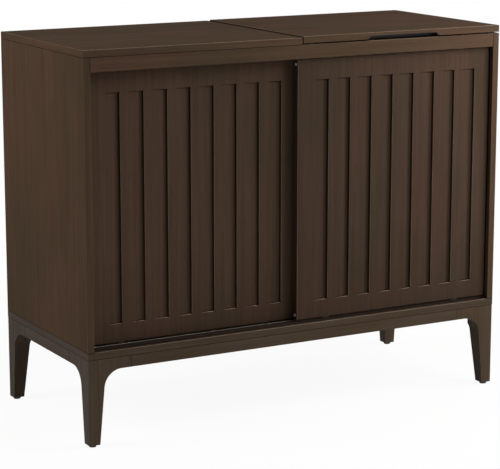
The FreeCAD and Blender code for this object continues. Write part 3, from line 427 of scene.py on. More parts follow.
def stained_wood(look, name, kind, grain, edge_run, door=None):
    """The finish of a board whose grain runs along one axis, and along another at its ends.

    The kind is a key of WOOD_KINDS. A fluted door is given by the two corners of its box, its stain's
    strength, the strength of the painted shadow on the flutes' deep side, and its painted light gradient from
    the middle to the right edge.
    """
    # Straight-grained wood under a dark stain and matt lacquer: brown that drifts between warm and cool,
    # with long soft streaks and short dark pores, painted highlights along edges that are partly sanded wear,
    # and painted shade, nearly black, in the seams
    if name in bpy.data.materials:
        return bpy.data.materials[name]
    material, tree, shader = new_material(name)
    cool, warm, corner_shade_share = (getattr(look, setting) for setting in WOOD_KINDS[kind][:3])
    upright_highlight, ledge_highlight_share, side_reflection = WOOD_KINDS[kind][3:]
    # Shares of the normal that make a face an end or a front, spread of the pieces' patterns, change of sheen
    end_share, front_share, spread, sheen_change = 0.7, -0.9, 60.0, 0.06

    # Coordinates with the grain along their first axis; the ends have an edge band with its own run
    place = add(tree, "ShaderNodeTexCoord")
    axes = add(tree, "ShaderNodeSeparateXYZ", inputs={0: place["Object"]})
    facing = add(tree, "ShaderNodeSeparateXYZ", inputs={0: place["Normal"]})
    third = next(axis for axis in "XYZ" if axis not in (grain, edge_run))
    board, band = (
        add(tree, "ShaderNodeCombineXYZ", inputs={i: axes[axis] for i, axis in enumerate(order)})[0]
        for order in ((grain, edge_run, third), (edge_run, third, grain)))
    tilt = add(tree, "ShaderNodeMath", {"operation": "ABSOLUTE"}, {0: facing[grain]})[0]
    is_end = add(tree, "ShaderNodeMath", {"operation": "GREATER_THAN"}, {0: tilt, 1: end_share})[0]
    run = add(tree, "ShaderNodeMix", {"data_type": "VECTOR"}, {0: is_end, 4: board, 5: band})[1]
    piece = add(tree, "ShaderNodeObjectInfo")["Random"]
    shift = add(tree, "ShaderNodeMath", {"operation": "MULTIPLY"}, {0: piece, 1: spread})[0]
    bend = stretched_noise(tree, run, (look.sway_length, look.sway_width, look.sway_width), 1.0, shift)
    run = add(
        tree, "ShaderNodeVectorMath", {"operation": "MULTIPLY_ADD"},
        {0: bend, 1: (0, look.sway, look.sway), 2: run})[0]

    # Three patterns, each with its own length and width
    streak, cloud, pore = (
        stretched_noise(tree, run, (length, width, width), detail, shift)
        for length, width, detail in (
            (look.streak_length, look.streak_width, 3.0),
            (look.cloud_length, look.cloud_width, 2.0),
            (look.pore_length, look.pore_width, 1.0)))

    # Stain: clouds from cool to warm, lighter and darker by streak and by piece, with painted light and shade
    # by the way a face looks
    sideways, ahead = (
        add(tree, "ShaderNodeMath", {"operation": "ABSOLUTE"}, {0: facing[axis]})[0] for axis in "XY")
    # On the base, faces that look left or right take the cool stain as a painted grey reflection
    cloud = add(tree, "ShaderNodeMapRange", inputs=limits(cloud, 0.38, 0.62, side_reflection, 1.0))[0]
    cloud = add(tree, "ShaderNodeMath", {"operation": "MULTIPLY_ADD"}, {0: sideways, 1: -side_reflection, 2: cloud})[0]
    stain = add(
        tree, "ShaderNodeMix", {"data_type": "RGBA"}, {0: cloud, 6: opaque(cool), 7: opaque(warm)})[2]
    ranges = [limits(streak, *NOISE_SPAN, 0.88, 1.12), limits(piece, 0, 1, 0.95, 1.05)]
    if door:
        # Painted shade on the sloping flutes, painted shadow on their deep side, a painted light gradient
        # across the door and painted shade towards its foot
        low, high, lift, flute_shadow, light_gradient = door
        in_front = add(
            tree, "ShaderNodeMath", {"operation": "LESS_THAN"}, {0: facing["Y"], 1: front_share})[0]
        depth = limits(axes["Y"], low[1] + look.deep_start, low[1] + look.deep_full)
        deep = product(tree, (depth, limits(in_front, 0, 1)))
        ranges += [
            limits(ahead, *FLUTE_TURN, look.flute_sink * lift, lift),
            limits(deep, 0, 1, 1.0, flute_shadow),
            limits(axes["X"], low[0], high[0], 1 - light_gradient, 1 + light_gradient),
            limits(axes["Z"], low[2], low[2] + look.foot_reach, look.foot_sink, 1.0),
        ]
    else:
        # Faces turned to the front or back get lighter: partly lighter strips and edge bands, partly painted
        # light
        ranges.append(limits(ahead, *FRONT_FACE_TURN, 1.0, look.strip_lift))
    strength = product(tree, ranges)
    stain = add(tree, "ShaderNodeVectorMath", {"operation": "SCALE"}, {0: stain, "Scale": strength})[0]

    # Over it: dark pores, painted highlights on edges that look up, forward or to the side (partly sanded
    # wear), painted shade in inner corners and seams, and painted highlights on level ledges
    pore = add(tree, "ShaderNodeMapRange", inputs=limits(pore, 0.62, 0.72, 0.0, 0.25))[0]
    ridge = add(
        tree, "ShaderNodeAmbientOcclusion", {"only_local": True, "inside": True, "samples": 8},
        {"Distance": look.edge_reach})["AO"]
    hollow = add(
        tree, "ShaderNodeAmbientOcclusion", {"samples": 16}, {"Distance": look.corner_reach})["AO"]
    on_top = add(tree, "ShaderNodeMapRange", inputs=limits(facing["Z"], 0.35, 0.65))[0]
    on_side = add(tree, "ShaderNodeMapRange", inputs=limits(sideways, 0.15, 0.4, 0.0, upright_highlight))[0]
    turned = add(tree, "ShaderNodeMath", {"operation": "MAXIMUM"}, {0: on_top, 1: on_side})[0]
    # Painted highlight on convex edges that look up, forward or to the side, partly sanded wear
    edge_highlight = product(tree, (
        limits(ridge, 0.78, 0.96, 0.9, 0.0),
        limits(turned, 0, 1),
        limits(facing["Y"], -0.3, 0.0, 1.0, 0.3),
        limits(hollow, 0.96, 0.999)))
    # Painted shade in inner corners and seams, where little open sky is over a spot
    corner_shade_mask = add(tree, "ShaderNodeMapRange", inputs=limits(hollow, 0.9, 0.998, corner_shade_share, 0.0))[0]
    # Painted highlight on level ledges such as the flutes' lower ends
    ledge_highlight = add(tree, "ShaderNodeMapRange", inputs=limits(facing["Z"], 0.8, 0.95, 0.0, ledge_highlight_share))[0]
    for share, colour in (
        (pore, look.pooled_stain),
        (edge_highlight, look.rubbed_edge),
        (corner_shade_mask, look.pooled_stain),
        (ledge_highlight, look.rubbed_edge),
    ):
        stain = add(
            tree, "ShaderNodeMix", {"data_type": "RGBA"}, {0: share, 6: stain, 7: opaque(colour)})[2]

    # Lacquer: smoother on pale streaks, sunk into the pores
    sheen = limits(streak, *NOISE_SPAN, look.roughness + sheen_change, look.roughness - sheen_change)
    relief = add(
        tree, "ShaderNodeBump", {"invert": True},
        {"Strength": 0.25, "Distance": 0.2 * MM, "Height": pore})[0]
    feed(tree, shader, {
        "Base Color": stain, "Roughness": add(tree, "ShaderNodeMapRange", inputs=sheen)[0],
        "Normal": relief, "IOR": 1.5, "Specular IOR Level": look.gloss})
    return material


def faced_hardboard(look):
    """Rear panels: a printed paper face inside, raw pressed fibre outside."""
    # Hardboard pressed from wood fibre: felted flecks behind, a smooth dark print with faint grain in front
    fleck, print_width, print_length = 3 * MM, 6 * MM, 240 * MM
    material, tree, shader = new_material("faced_hardboard")
    place = add(tree, "ShaderNodeTexCoord")
    facing = add(tree, "ShaderNodeSeparateXYZ", inputs={0: place["Normal"]})
    outside = add(tree, "ShaderNodeMath", {"operation": "GREATER_THAN"}, {0: facing["Y"], 1: 0.5})[0]
    fibre = add(
        tree, "ShaderNodeTexNoise",
        inputs={"Vector": place["Object"], "Scale": 1 / fleck, "Detail": 3.0, "Roughness": 0.65})[0]
    grain = stretched_noise(tree, place["Object"], (print_width, print_width, print_length), 2.0)
    raw = mottled(tree, look.raw_hardboard, fibre, 0.72, 1.25)
    printed = mottled(tree, look.printed_face, grain, 0.8, 1.2)
    colour = add(tree, "ShaderNodeMix", {"data_type": "RGBA"}, {0: outside, 6: printed, 7: raw})[2]
    rough = add(tree, "ShaderNodeMapRange", inputs=limits(outside, 0, 1, 0.5, 0.85))[0]
    felt = add(tree, "ShaderNodeMath", {"operation": "MULTIPLY"}, {0: fibre, 1: outside})[0]
    relief = add(tree, "ShaderNodeBump", inputs={"Strength": 0.4, "Distance": 0.3 * MM, "Height": felt})[0]
    feed(tree, shader, {
        "Base Color": colour, "Roughness": rough, "Normal": relief, "Specular IOR Level": 0.1})
    return material


def moulded_abs(look):
    """Finger pull and roller housings."""
    # ABS from a spark-eroded mould: black, half gloss, with an even fine pebble that breaks up reflections
    # The pebble is about 0.1 mm in fact and is drawn at 0.8 mm so that it shows
    pebble, flow = 0.8 * MM, 40 * MM
    material, tree, shader = new_material("moulded_abs")
    place = add(tree, "ShaderNodeTexCoord")["Object"]
    grit = add(tree, "ShaderNodeTexNoise", inputs={"Vector": place, "Scale": 1 / pebble, "Detail": 1.0})[0]
    cloud = add(tree, "ShaderNodeTexNoise", inputs={"Vector": place, "Scale": 1 / flow, "Detail": 2.0})[0]
    colour = mottled(tree, look.black_plastic, cloud, 0.8, 1.25)
    rough = add(tree, "ShaderNodeMapRange", inputs=limits(cloud, *NOISE_SPAN, 0.55, 0.68))[0]
    relief = add(tree, "ShaderNodeBump", inputs={"Strength": 0.15, "Distance": 0.05 * MM, "Height": grit})[0]
    feed(tree, shader, {
        "Base Color": colour, "Roughness": rough, "Normal": relief, "IOR": 1.54, "Specular IOR Level": 0.14})
    return material


def extruded_pvc(look):
    """Tracks of the doors."""
    # PVC drawn through a die: dark brown, half matt, with fine lines along it
    # A painted highlight lies pale on the up-facing lip behind the front run, where no door shades it
    line_width, line_length, lip, shelter = 1.2 * MM, 400 * MM, 1.2 * MM, 12 * MM
    front_lip, rear_lip = -197 * MM, -193 * MM
    material, tree, shader = new_material("extruded_pvc")
    place = add(tree, "ShaderNodeTexCoord")
    axes = add(tree, "ShaderNodeSeparateXYZ", inputs={0: place["Object"]})
    facing = add(tree, "ShaderNodeSeparateXYZ", inputs={0: place["Normal"]})
    lines = stretched_noise(tree, place["Object"], (line_length, line_width, line_width), 2.0)
    colour = mottled(tree, look.brown_plastic, lines, 0.8, 1.2)
    ridge = add(
        tree, "ShaderNodeAmbientOcclusion", {"only_local": True, "inside": True, "samples": 8},
        {"Distance": lip})["AO"]
    around = add(tree, "ShaderNodeAmbientOcclusion", {"samples": 8}, {"Distance": shelter})["AO"]
    # Painted highlight on the lip where it looks up and no door shades it
    lip_highlight = product(tree, (
        limits(ridge, 0.7, 0.97, 0.9, 0.0),
        limits(facing["Z"], 0.05, 0.35),
        limits(around, 0.55, 0.8),
        limits(axes["Y"], front_lip, rear_lip)))
    colour = add(
        tree, "ShaderNodeMix", {"data_type": "RGBA"},
        {0: lip_highlight, 6: colour, 7: opaque(look.worn_plastic)})[2]
    rough = add(tree, "ShaderNodeMapRange", inputs=limits(lines, *NOISE_SPAN, 0.5, 0.65))[0]
    feed(tree, shader, {"Base Color": colour, "Roughness": rough, "IOR": 1.53, "Specular IOR Level": 0.05})
    return material


def moulded_polyethylene(look):
    """Glides under the legs."""
    # Black polyethylene: waxy and dull, with pale drag marks where it has slid on a floor
    mark_width, mark_length = 0.7 * MM, 14 * MM
    material, tree, shader = new_material("moulded_polyethylene")
    place = add(tree, "ShaderNodeTexCoord")
    facing = add(tree, "ShaderNodeSeparateXYZ", inputs={0: place["Normal"]})
    drag = stretched_noise(tree, place["Object"], (mark_length, mark_width, mark_width), 2.0)
    under = add(tree, "ShaderNodeMath", {"operation": "LESS_THAN"}, {0: facing["Z"], 1: -0.5})[0]
    worn = product(tree, (limits(drag, 0.5, 0.7, 0.0, 0.5), limits(under, 0, 1)))
    colour = add(
        tree, "ShaderNodeMix", {"data_type": "RGBA"},
        {0: worn, 6: opaque(look.black_plastic), 7: opaque(look.scuffed_plastic)})[2]
    rough = add(tree, "ShaderNodeMapRange", inputs=limits(drag, 0, 1, 0.48, 0.66))[0]
    feed(tree, shader, {"Base Color": colour, "Roughness": rough, "IOR": 1.51})
    return material


def moulded_nylon(look):
    """Wheels and top guides."""
    # Natural nylon: milky off-white that lets a little light in, with soft flow marks from the mould
    flow, grain = 9 * MM, 0.6 * MM
    material, tree, shader = new_material("moulded_nylon")
    place = add(tree, "ShaderNodeTexCoord")["Object"]
    cloud = add(tree, "ShaderNodeTexNoise", inputs={"Vector": place, "Scale": 1 / flow, "Detail": 3.0})[0]
    grit = add(tree, "ShaderNodeTexNoise", inputs={"Vector": place, "Scale": 1 / grain, "Detail": 1.0})[0]
    colour = mottled(tree, look.white_nylon, cloud, 0.88, 1.04)
    rough = add(tree, "ShaderNodeMapRange", inputs=limits(cloud, *NOISE_SPAN, 0.36, 0.5))[0]
    relief = add(tree, "ShaderNodeBump", inputs={"Strength": 0.1, "Distance": 0.05 * MM, "Height": grit})[0]
    feed(tree, shader, {
        "Base Color": colour, "Roughness": rough, "Normal": relief, "IOR": 1.53, "Subsurface Weight": 0.2,
        "Subsurface Radius": (1.0, 0.9, 0.8), "Subsurface Scale": 1.5 * MM})
    return material


def moulded_rubber(look):
    """Pads that the lid rests on."""
    # Natural rubber with carbon black: dull and soft, with a grey bloom in patches
    patch, grain = 3 * MM, 0.6 * MM
    material, tree, shader = new_material("moulded_rubber")
    place = add(tree, "ShaderNodeTexCoord")["Object"]
    film = add(tree, "ShaderNodeTexNoise", inputs={"Vector": place, "Scale": 1 / patch, "Detail": 2.0})[0]
    grit = add(tree, "ShaderNodeTexNoise", inputs={"Vector": place, "Scale": 1 / grain, "Detail": 1.0})[0]
    share = add(tree, "ShaderNodeMapRange", inputs=limits(film, 0.45, 0.7, 0.0, 0.6))[0]
    colour = add(
        tree, "ShaderNodeMix", {"data_type": "RGBA"},
        {0: share, 6: opaque(look.black_rubber), 7: opaque(look.bloom)})[2]
    rough = add(tree, "ShaderNodeMapRange", inputs=limits(share, 0, 0.6, 0.75, 0.9))[0]
    relief = add(tree, "ShaderNodeBump", inputs={"Strength": 0.1, "Distance": 0.05 * MM, "Height": grit})[0]
    feed(tree, shader, {"Base Color": colour, "Roughness": rough, "Normal": relief, "IOR": 1.52})
    return material


def clear_polyurethane(look):
    """Door bumpers."""
    # Cast polyurethane: clear and soft, hazed by dust that sticks to it
    dust = 0.9 * MM
    material, tree, shader = new_material("clear_polyurethane")
    place = add(tree, "ShaderNodeTexCoord")["Object"]
    haze = add(tree, "ShaderNodeTexNoise", inputs={"Vector": place, "Scale": 1 / dust, "Detail": 2.0})[0]
    colour = mottled(tree, look.clear_rubber, haze, 0.9, 1.05)
    rough = add(tree, "ShaderNodeMapRange", inputs=limits(haze, *NOISE_SPAN, 0.15, 0.4))[0]
    feed(tree, shader, {"Base Color": colour, "Roughness": rough, "IOR": 1.5, "Transmission Weight": 0.3})
    return material


def bare_pine(look):
    """Dowels and corner blocks, which stay bare."""
    # Planed pine: pale spring wood between thin brown summer rings, matt
    ring, length, fibre = 3.2 * MM, 130 * MM, 0.8 * MM
    material, tree, shader = new_material("bare_pine")
    place = add(tree, "ShaderNodeTexCoord")["Object"]
    drawn = add(
        tree, "ShaderNodeMapping", inputs={"Vector": place, "Scale": (1 / ring, 1 / ring, 1 / length)})[0]
    rings = add(
        tree, "ShaderNodeTexNoise",
        inputs={"Vector": drawn, "Scale": 0.5, "Detail": 1.0, "Distortion": 0.4})[0]
    fibres = stretched_noise(tree, place, (fibre, fibre, length), 1.0)
    share = add(tree, "ShaderNodeMapRange", inputs=limits(rings, 0.42, 0.66, 0.0, 0.85))[0]
    colour = add(
        tree, "ShaderNodeMix", {"data_type": "RGBA"},
        {0: share, 6: opaque(look.pale_pine), 7: opaque(look.dark_pine)})[2]
    colour = mottled(tree, colour, fibres, 0.85, 1.12, span=(0, 1))
    rough = add(tree, "ShaderNodeMapRange", inputs=limits(share, 0, 1, 0.75, 0.6))[0]
    relief = add(
        tree, "ShaderNodeBump", inputs={"Strength": 0.3, "Distance": 0.15 * MM, "Height": fibres})[0]
    feed(tree, shader, {
        "Base Color": colour, "Roughness": rough, "Normal": relief, "Specular IOR Level": 0.15})
    return material


def zinc_plated_steel(look):
    """Hinges, screws, bolts, pins and axles."""
    # Bright zinc on pressed steel: a soft silver shine with bluish and yellowish clouds and fine marks
    cloud_size, mark = 7 * MM, 0.5 * MM
    material, tree, shader = new_material("zinc_plated_steel")
    place = add(tree, "ShaderNodeTexCoord")["Object"]
    cloud = add(
        tree, "ShaderNodeTexNoise", inputs={"Vector": place, "Scale": 1 / cloud_size, "Detail": 2.0})[0]
    marks = stretched_noise(tree, place, (10 * mark, mark, mark), 2.0)
    share = add(tree, "ShaderNodeMapRange", inputs=limits(cloud, 0.35, 0.65))[0]
    colour = add(
        tree, "ShaderNodeMix", {"data_type": "RGBA"},
        {0: share, 6: opaque(look.cool_zinc), 7: opaque(look.warm_zinc)})[2]
    rough = add(tree, "ShaderNodeMapRange", inputs=limits(marks, *NOISE_SPAN, 0.24, 0.42))[0]
    relief = add(
        tree, "ShaderNodeBump", inputs={"Strength": 0.08, "Distance": 0.05 * MM, "Height": marks})[0]
    feed(tree, shader, {"Base Color": colour, "Roughness": rough, "Normal": relief, "Metallic": 1.0})
    return material


def cast_zinc(look):
    """Cam locks."""
    # Die-cast zinc: dull grey with a fine sandy skin
    sand, cloud_size = 0.7 * MM, 6 * MM
    material, tree, shader = new_material("cast_zinc")
    place = add(tree, "ShaderNodeTexCoord")["Object"]
    skin = add(tree, "ShaderNodeTexNoise", inputs={"Vector": place, "Scale": 1 / sand, "Detail": 2.0})[0]
    cloud = add(
        tree, "ShaderNodeTexNoise", inputs={"Vector": place, "Scale": 1 / cloud_size, "Detail": 2.0})[0]
    colour = mottled(tree, look.cast_zinc, cloud, 0.85, 1.1)
    rough = add(tree, "ShaderNodeMapRange", inputs=limits(skin, *NOISE_SPAN, 0.4, 0.58))[0]
    relief = add(tree, "ShaderNodeBump", inputs={"Strength": 0.2, "Distance": 0.08 * MM, "Height": skin})[0]
    feed(tree, shader, {"Base Color": colour, "Roughness": rough, "Normal": relief, "Metallic": 1.0})
    return material


def ready(maker, look):
    """A finish by its maker, made once."""
    known = bpy.data.materials.get(maker.__name__)
    return known or maker(look)


def ease_edges(names, width):
    """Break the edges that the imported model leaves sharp, as a sander, a mould or a press does."""
    for name in names:
        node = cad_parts[name]
        weld = node.modifiers.new("weld", "WELD")
        weld.merge_threshold = 0.01 * MM
        bevel = node.modifiers.new("eased_edges", "BEVEL")
        bevel.width = width
        bevel.segments = 2
        bevel.limit_method = "ANGLE"
        bevel.angle_limit = math.radians(40)


def box_of(points):
    """The lowest and the highest corner of the box around points."""
    return [Vector([pick(point[i] for point in points) for i in range(3)]) for pick in (min, max)]


def separate_solids(node):
    """The boxes of a node's solids that don't touch each other, in metres."""
    mesh = bmesh.new()
    mesh.from_mesh(node.data)
    bmesh.ops.remove_doubles(mesh, verts=mesh.verts, dist=0.001 * MM)
    waiting = set(mesh.verts)
    boxes = []
    while waiting:
        found = {waiting.pop()}
        edge_of_search = list(found)
        while edge_of_search:
            vert = edge_of_search.pop()
            near = {edge.other_vert(vert) for edge in vert.link_edges} - found
            found |= near
            edge_of_search.extend(near)
        waiting -= found
        boxes.append(box_of([vert.co for vert in found]))
    mesh.free()
    return boxes


def crossed_screw(mesh, tip, up, length, head_radius, head_high, shank_radius, sunk):
    """Add one screw to a mesh: a threaded shank, a domed or sunk head and a cross recess in it."""
    around, pitch = 24, 1.4 * MM
    point, core, lead = 0.25 * shank_radius, 0.75 * shank_radius, 1.2 * pitch
    side = up.orthogonal().normalized()
    other = up.cross(side)

    def ring(radius, high):
        centre = tip + up * high
        turns = [2 * math.pi * i / around for i in range(around)]
        return [mesh.verts.new(centre + (side * math.cos(a) + other * math.sin(a)) * radius) for a in turns]

    def skin(low, high):
        for i in range(len(low)):
            j = (i + 1) % len(low)
            mesh.faces.new((low[i], low[j], high[j], high[i]))

    # The shank from its point up, ridge by ridge
    seat = length - head_high
    rows = [ring(point, 0), ring(core, lead)]
    mesh.faces.new(reversed(rows[0]))
    ridges = int((seat - 1.5 * pitch) / pitch)
    for i in range(ridges):
        foot = lead + i * pitch
        rows.append(ring(shank_radius, foot + 0.5 * pitch))
        rows.append(ring(core, foot + 0.95 * pitch))
    rows.append(ring(shank_radius, seat))

    # The head: flush on top where it is sunk, and otherwise domed in four steps over a straight rim
    flat, rim_share = 0.72 * head_radius, 0.3
    if sunk:
        rows.append(ring(head_radius, length))
    else:
        rows.append(ring(head_radius, seat))
        rows.append(ring(head_radius, seat + rim_share * head_high))
        for lift in (0.3, 0.6, 0.85):
            turn = lift * math.pi / 2
            radius = flat + (head_radius - flat) * math.cos(turn)
            rows.append(ring(radius, seat + (rim_share + (1 - rim_share) * math.sin(turn)) * head_high))
    rows.append(ring(flat, length))
    for low, high in zip(rows, rows[1:]):
        skin(low, high)

    # The cross: an outline of twelve corners, and the same one smaller at the bottom of the recess
    reach, half, sunk_share, recess = 0.6 * head_radius, 0.15 * head_radius, 0.55, 0.5 * head_radius
    arm = [(reach, -half), (reach, half), (half, half)]
    corners = []
    for quarter in range(4):
        across, along = math.cos(quarter * math.pi / 2), math.sin(quarter * math.pi / 2)
        corners.extend((x * across - y * along, x * along + y * across) for x, y in arm)

    def cross(share, high):
        return [mesh.verts.new(tip + up * high + (side * x + other * y) * share) for x, y in corners]

    mouth = cross(1.0, length)
    floor = cross(sunk_share, length - recess)
    rim = rows[-1]
    angles = [math.atan2(y, x) for x, y in corners]
    nearest = [round(angle / (2 * math.pi) * around) % around for angle in angles]
    for i in range(len(mouth)):
        j = (i + 1) % len(mouth)
        outer = [rim[nearest[i]]]
        step = nearest[i]
        while step != nearest[j]:
            step = (step + 1) % around
            outer.append(rim[step])
        mesh.faces.new([*outer, mouth[j], mouth[i]])
    skin(mouth, floor)
    mesh.faces.new(floor)


class CONSOLE_OT_carcass(bpy.types.Operator):
    """Stain the boards of the carcass."""

    bl_idname = "console.carcass"
    bl_label = "Carcass boards"

    def execute(self, context):
        look = context.scene.console_wood
        dress(UPRIGHT_BOARDS, stained_wood(look, "stained_veneer_upright", "carcass", "Z", "Y"))
        dress(LEVEL_BOARDS, stained_wood(look, "stained_veneer_level", "carcass", "X", "Y"))
        dress(BACK_PANELS, ready(faced_hardboard, context.scene.console_fittings))
        return {"FINISHED"}


class CONSOLE_OT_doors(bpy.types.Operator):
    """Stain the two fluted doors and paint light and shade on them."""

    bl_idname = "console.doors"
    bl_label = "Sliding doors"

    def execute(self, context):
        look = context.scene.console_wood
        settings = (
            (look.left_flitch, look.left_sink, look.left_drift),
            (look.right_flitch, look.right_sink, look.right_drift))
        for door, own in zip(DOORS, settings):
            panel = f"{door}_panel"
            box = box_of(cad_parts[panel].bound_box)
            dress([panel], stained_wood(look, f"stained_veneer_{door}", "door", "Z", "X", (*box, *own)))
        return {"FINISHED"}


class CONSOLE_OT_lid(bpy.types.Operator):
    """Stain the lid and finish its pull and pads."""

    bl_idname = "console.lid"
    bl_label = "Lid"

    def execute(self, context):
        look = context.scene.console_wood
        dress(["lid_panel"], stained_wood(look, "stained_veneer_level", "carcass", "X", "Y"))
        fittings = context.scene.console_fittings
        dress(["lid_pull"], ready(moulded_abs, fittings))
        ease_edges(["lid_pull"], 0.35 * MM)
        dress(["lid_rest_pads"], ready(moulded_rubber, fittings))
        return {"FINISHED"}


class CONSOLE_OT_base(bpy.types.Operator):
    """Stain the legs, the aprons and the bottom panel, and finish what holds them."""

    bl_idname = "console.base"
    bl_label = "Base"

    def execute(self, context):
        look = context.scene.console_wood
        dress(LEGS, stained_wood(look, "stained_hardwood_upright", "base", "Z", "X"))
        dress((*LONG_APRONS, "bottom_panel"), stained_wood(look, "stained_hardwood_long", "base", "X", "Y"))
        dress(SHORT_APRONS, stained_wood(look, "stained_hardwood_short", "base", "Y", "X"))
        ease_edges((*LEGS, *LONG_APRONS, *SHORT_APRONS), 0.8 * MM)
        fittings = context.scene.console_fittings
        dress(BARE_WOOD, ready(bare_pine, fittings))
        dress(["foot_glides"], ready(moulded_polyethylene, fittings))
        return {"FINISHED"}


class CONSOLE_OT_running_gear(bpy.types.Operator):
    """Finish the tracks, rollers, guides and bumpers."""

    bl_idname = "console.running_gear"
    bl_label = "Tracks and rollers"

    def execute(self, context):
        fittings = context.scene.console_fittings
        dress(TRACKS, ready(extruded_pvc, fittings))
        ease_edges(TRACKS, 0.4 * MM)
        for door in DOORS:
            dress([f"{door}_roller_housings"], ready(moulded_abs, fittings))
            ease_edges([f"{door}_roller_housings"], 0.3 * MM)
            rolling = [f"{door}_top_guides", f"{door}_left_wheel", f"{door}_right_wheel"]
            dress(rolling, ready(moulded_nylon, fittings))
            dress([f"{door}_bumpers"], ready(clear_polyurethane, fittings))
        return {"FINISHED"}


class CONSOLE_OT_fittings(bpy.types.Operator):
    """Finish the hinges, pins, bolts and cam locks."""

    bl_idname = "console.fittings"
    bl_label = "Metal fittings"

    def execute(self, context):
        fittings = context.scene.console_fittings
        dress(PLATED_STEEL, ready(zinc_plated_steel, fittings))
        ease_edges(HINGE_LEAVES, 0.2 * MM)
        dress(["cam_locks"], ready(cast_zinc, fittings))
        return {"FINISHED"}


class CONSOLE_OT_screws(bpy.types.Operator):
    """Put crossed screws with threads in the place of the plain ones."""

    bl_idname = "console.screws"
    bl_label = "Screws"

    def execute(self, context):
        steel = ready(zinc_plated_steel, context.scene.console_fittings)
        for name, body, up, *sizes, sunk in SCREWS:
            up = Vector(up)
            head_radius, head_high, shank_radius = (size * MM for size in sizes)
            mesh = bmesh.new()
            for low, high in separate_solids(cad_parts[name]):
                length = abs((high - low).dot(up))
                tip = (low + high) / 2 - up * length / 2
                crossed_screw(mesh, tip, up, length, head_radius, head_high, shank_radius, sunk)
            bmesh.ops.recalc_face_normals(mesh, faces=mesh.faces)
            made = bpy.data.meshes.new(f"crossed_{name}")
            mesh.to_mesh(made)
            mesh.free()
            made.materials.append(steel)
            made.shade_smooth()
            made.set_sharp_from_angle(angle=math.radians(35))
            piece = bpy.data.objects.new(f"crossed_{name}", made)
            context.scene.collection.objects.link(piece)
            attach(piece, body)
            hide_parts(name)
        return {"FINISHED"}


class CONSOLE_OT_stage(bpy.types.Operator):
    """Make the floor, the lights and the camera."""

    bl_idname = "console.stage"
    bl_label = "Studio"

    def execute(self, context):
        scene = context.scene
        studio = scene.console_studio
        scene.view_settings.view_transform = "Standard"
        white_world(scene, studio)
        white_floor(scene, studio)
        middle = Vector((0, 0, CAD_BOX[1][2] / 2))
        powers = (
            studio.key_power, studio.high_power, studio.near_power,
            studio.right_power, studio.left_power, studio.rear_power)
        for (name, right, up, far, size), power in zip(LAMPS, powers):
            data = bpy.data.lights.new(name, "AREA")
            data.shape = "SQUARE"
            data.size = size
            data.energy = power
            lamp = bpy.data.objects.new(name, data)
            level = far * math.cos(math.radians(up))
            across, ahead = math.sin(math.radians(right)), math.cos(math.radians(right))
            rise = far * math.sin(math.radians(up))
            lamp.location = middle + Vector((level * across, -level * ahead, rise))
            lamp.rotation_euler = (middle - lamp.location).to_track_quat("-Z", "Y").to_euler()
            scene.collection.objects.link(lamp)
        eye = bpy.data.cameras.new("camera")
        eye.sensor_width = 36
        eye.lens = studio.lens
        camera = bpy.data.objects.new("camera", eye)
        camera.location = studio.camera_place
        camera.rotation_euler = Euler((math.pi / 2 - studio.camera_pitch, 0, -studio.camera_yaw))
        scene.collection.objects.link(camera)
        scene.camera = camera
        return {"FINISHED"}


def seen_rays(tree):
    """One where the background itself is seen: straight, in a reflection or through something clear."""
    path = add(tree, "ShaderNodeLightPath")
    seen = path["Is Camera Ray"]
    for kind in ("Is Glossy Ray", "Is Transmission Ray"):
        seen = add(tree, "ShaderNodeMath", {"operation": "MAXIMUM"}, {0: seen, 1: path[kind]})[0]
    return seen


def white_world(scene, studio):
    """A room that gives a little even light and is white where it is seen."""
    world = bpy.data.worlds.new("studio_room")
    world.use_nodes = True
    scene.world = world
    tree = world.node_tree
    room = tree.nodes["Background"]
    feed(tree, room, {"Color": WHITE, "Strength": studio.room_light})
    backdrop = add(tree, "ShaderNodeBackground", inputs={"Color": WHITE, "Strength": 1.0})[0]
    mixed = add(
        tree, "ShaderNodeMixShader", inputs={0: seen_rays(tree), 1: room.outputs[0], 2: backdrop})[0]
    feed(tree, tree.nodes["World Output"], {"Surface": mixed})


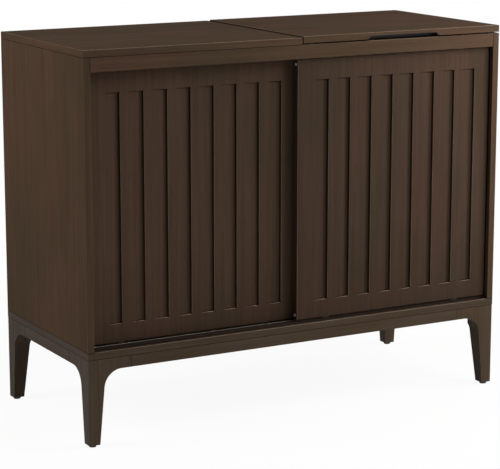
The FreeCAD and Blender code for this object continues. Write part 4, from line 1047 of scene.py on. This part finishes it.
def white_floor(scene, studio):
    """A pale floor that keeps the console's shadow near it and goes over into white further out."""
    reach, shadow_near, shadow_far, glow_near = 30.0, 0.7, 1.7, 0.93
    corners = [(-reach, -reach, 0), (reach, -reach, 0), (reach, reach, 0), (-reach, reach, 0)]
    mesh = bpy.data.meshes.new("studio_floor")
    mesh.from_pydata(corners, [], [(0, 1, 2, 3)])
    floor = bpy.data.objects.new("studio_floor", mesh)
    scene.collection.objects.link(floor)
    material, tree, shader = new_material("pale_studio_floor")
    mesh.materials.append(material)
    colour = opaque(studio.floor_colour)
    feed(tree, shader, {"Base Color": colour, "Roughness": 1.0, "Specular IOR Level": 0.0})
    place = add(tree, "ShaderNodeTexCoord")["Object"]
    away = add(tree, "ShaderNodeVectorMath", {"operation": "LENGTH"}, {0: place})["Value"]
    share = add(
        tree, "ShaderNodeMapRange", {"interpolation_type": "SMOOTHSTEP"},
        limits(away, shadow_near, shadow_far, glow_near, 1.0))[0]
    factor = add(tree, "ShaderNodeMath", {"operation": "MULTIPLY"}, {0: share, 1: seen_rays(tree)})[0]
    glow = add(tree, "ShaderNodeEmission", inputs={"Color": WHITE, "Strength": 1.0})[0]
    mixed = add(tree, "ShaderNodeMixShader", inputs={0: factor, 1: shader.outputs[0], 2: glow})[0]
    feed(tree, tree.nodes["Material Output"], {"Surface": mixed})


STEPS = (
    CONSOLE_OT_carcass,
    CONSOLE_OT_doors,
    CONSOLE_OT_lid,
    CONSOLE_OT_base,
    CONSOLE_OT_running_gear,
    CONSOLE_OT_fittings,
    CONSOLE_OT_screws,
    CONSOLE_OT_stage,
)


class CONSOLE_PT_sidebar(bpy.types.Panel):
    """Lists the console's steps and what can be changed."""

    bl_idname = "CONSOLE_PT_sidebar"
    bl_label = "Media console"
    bl_space_type = "VIEW_3D"
    bl_region_type = "UI"
    bl_category = "Console"

    def draw(self, context):
        scene = context.scene
        for group in (scene.console_wood, scene.console_fittings, scene.console_studio):
            for prop in group.bl_rna.properties:
                if not prop.is_readonly and prop.identifier != "name":
                    self.layout.prop(group, prop.identifier)
        for step in STEPS:
            self.layout.operator(step.bl_idname)


CLASSES = (ConsoleWood, ConsoleFittings, ConsoleStudio, *STEPS, CONSOLE_PT_sidebar)


def register():
    """Make the classes and their settings known."""
    for item in CLASSES:
        bpy.utils.register_class(item)
    bpy.types.Scene.console_wood = PointerProperty(type=ConsoleWood)
    bpy.types.Scene.console_fittings = PointerProperty(type=ConsoleFittings)
    bpy.types.Scene.console_studio = PointerProperty(type=ConsoleStudio)


def unregister():
    """Take the classes and their settings away."""
    del bpy.types.Scene.console_studio
    del bpy.types.Scene.console_fittings
    del bpy.types.Scene.console_wood
    for item in reversed(CLASSES):
        bpy.utils.unregister_class(item)


def main():
    """Make the classes known and run every step in order."""
    register()
    bpy.ops.console.carcass()
    bpy.ops.console.doors()
    bpy.ops.console.lid()
    bpy.ops.console.base()
    bpy.ops.console.running_gear()
    bpy.ops.console.fittings()
    bpy.ops.console.screws()
    bpy.ops.console.stage()


if __name__ == "__main__":
    main()
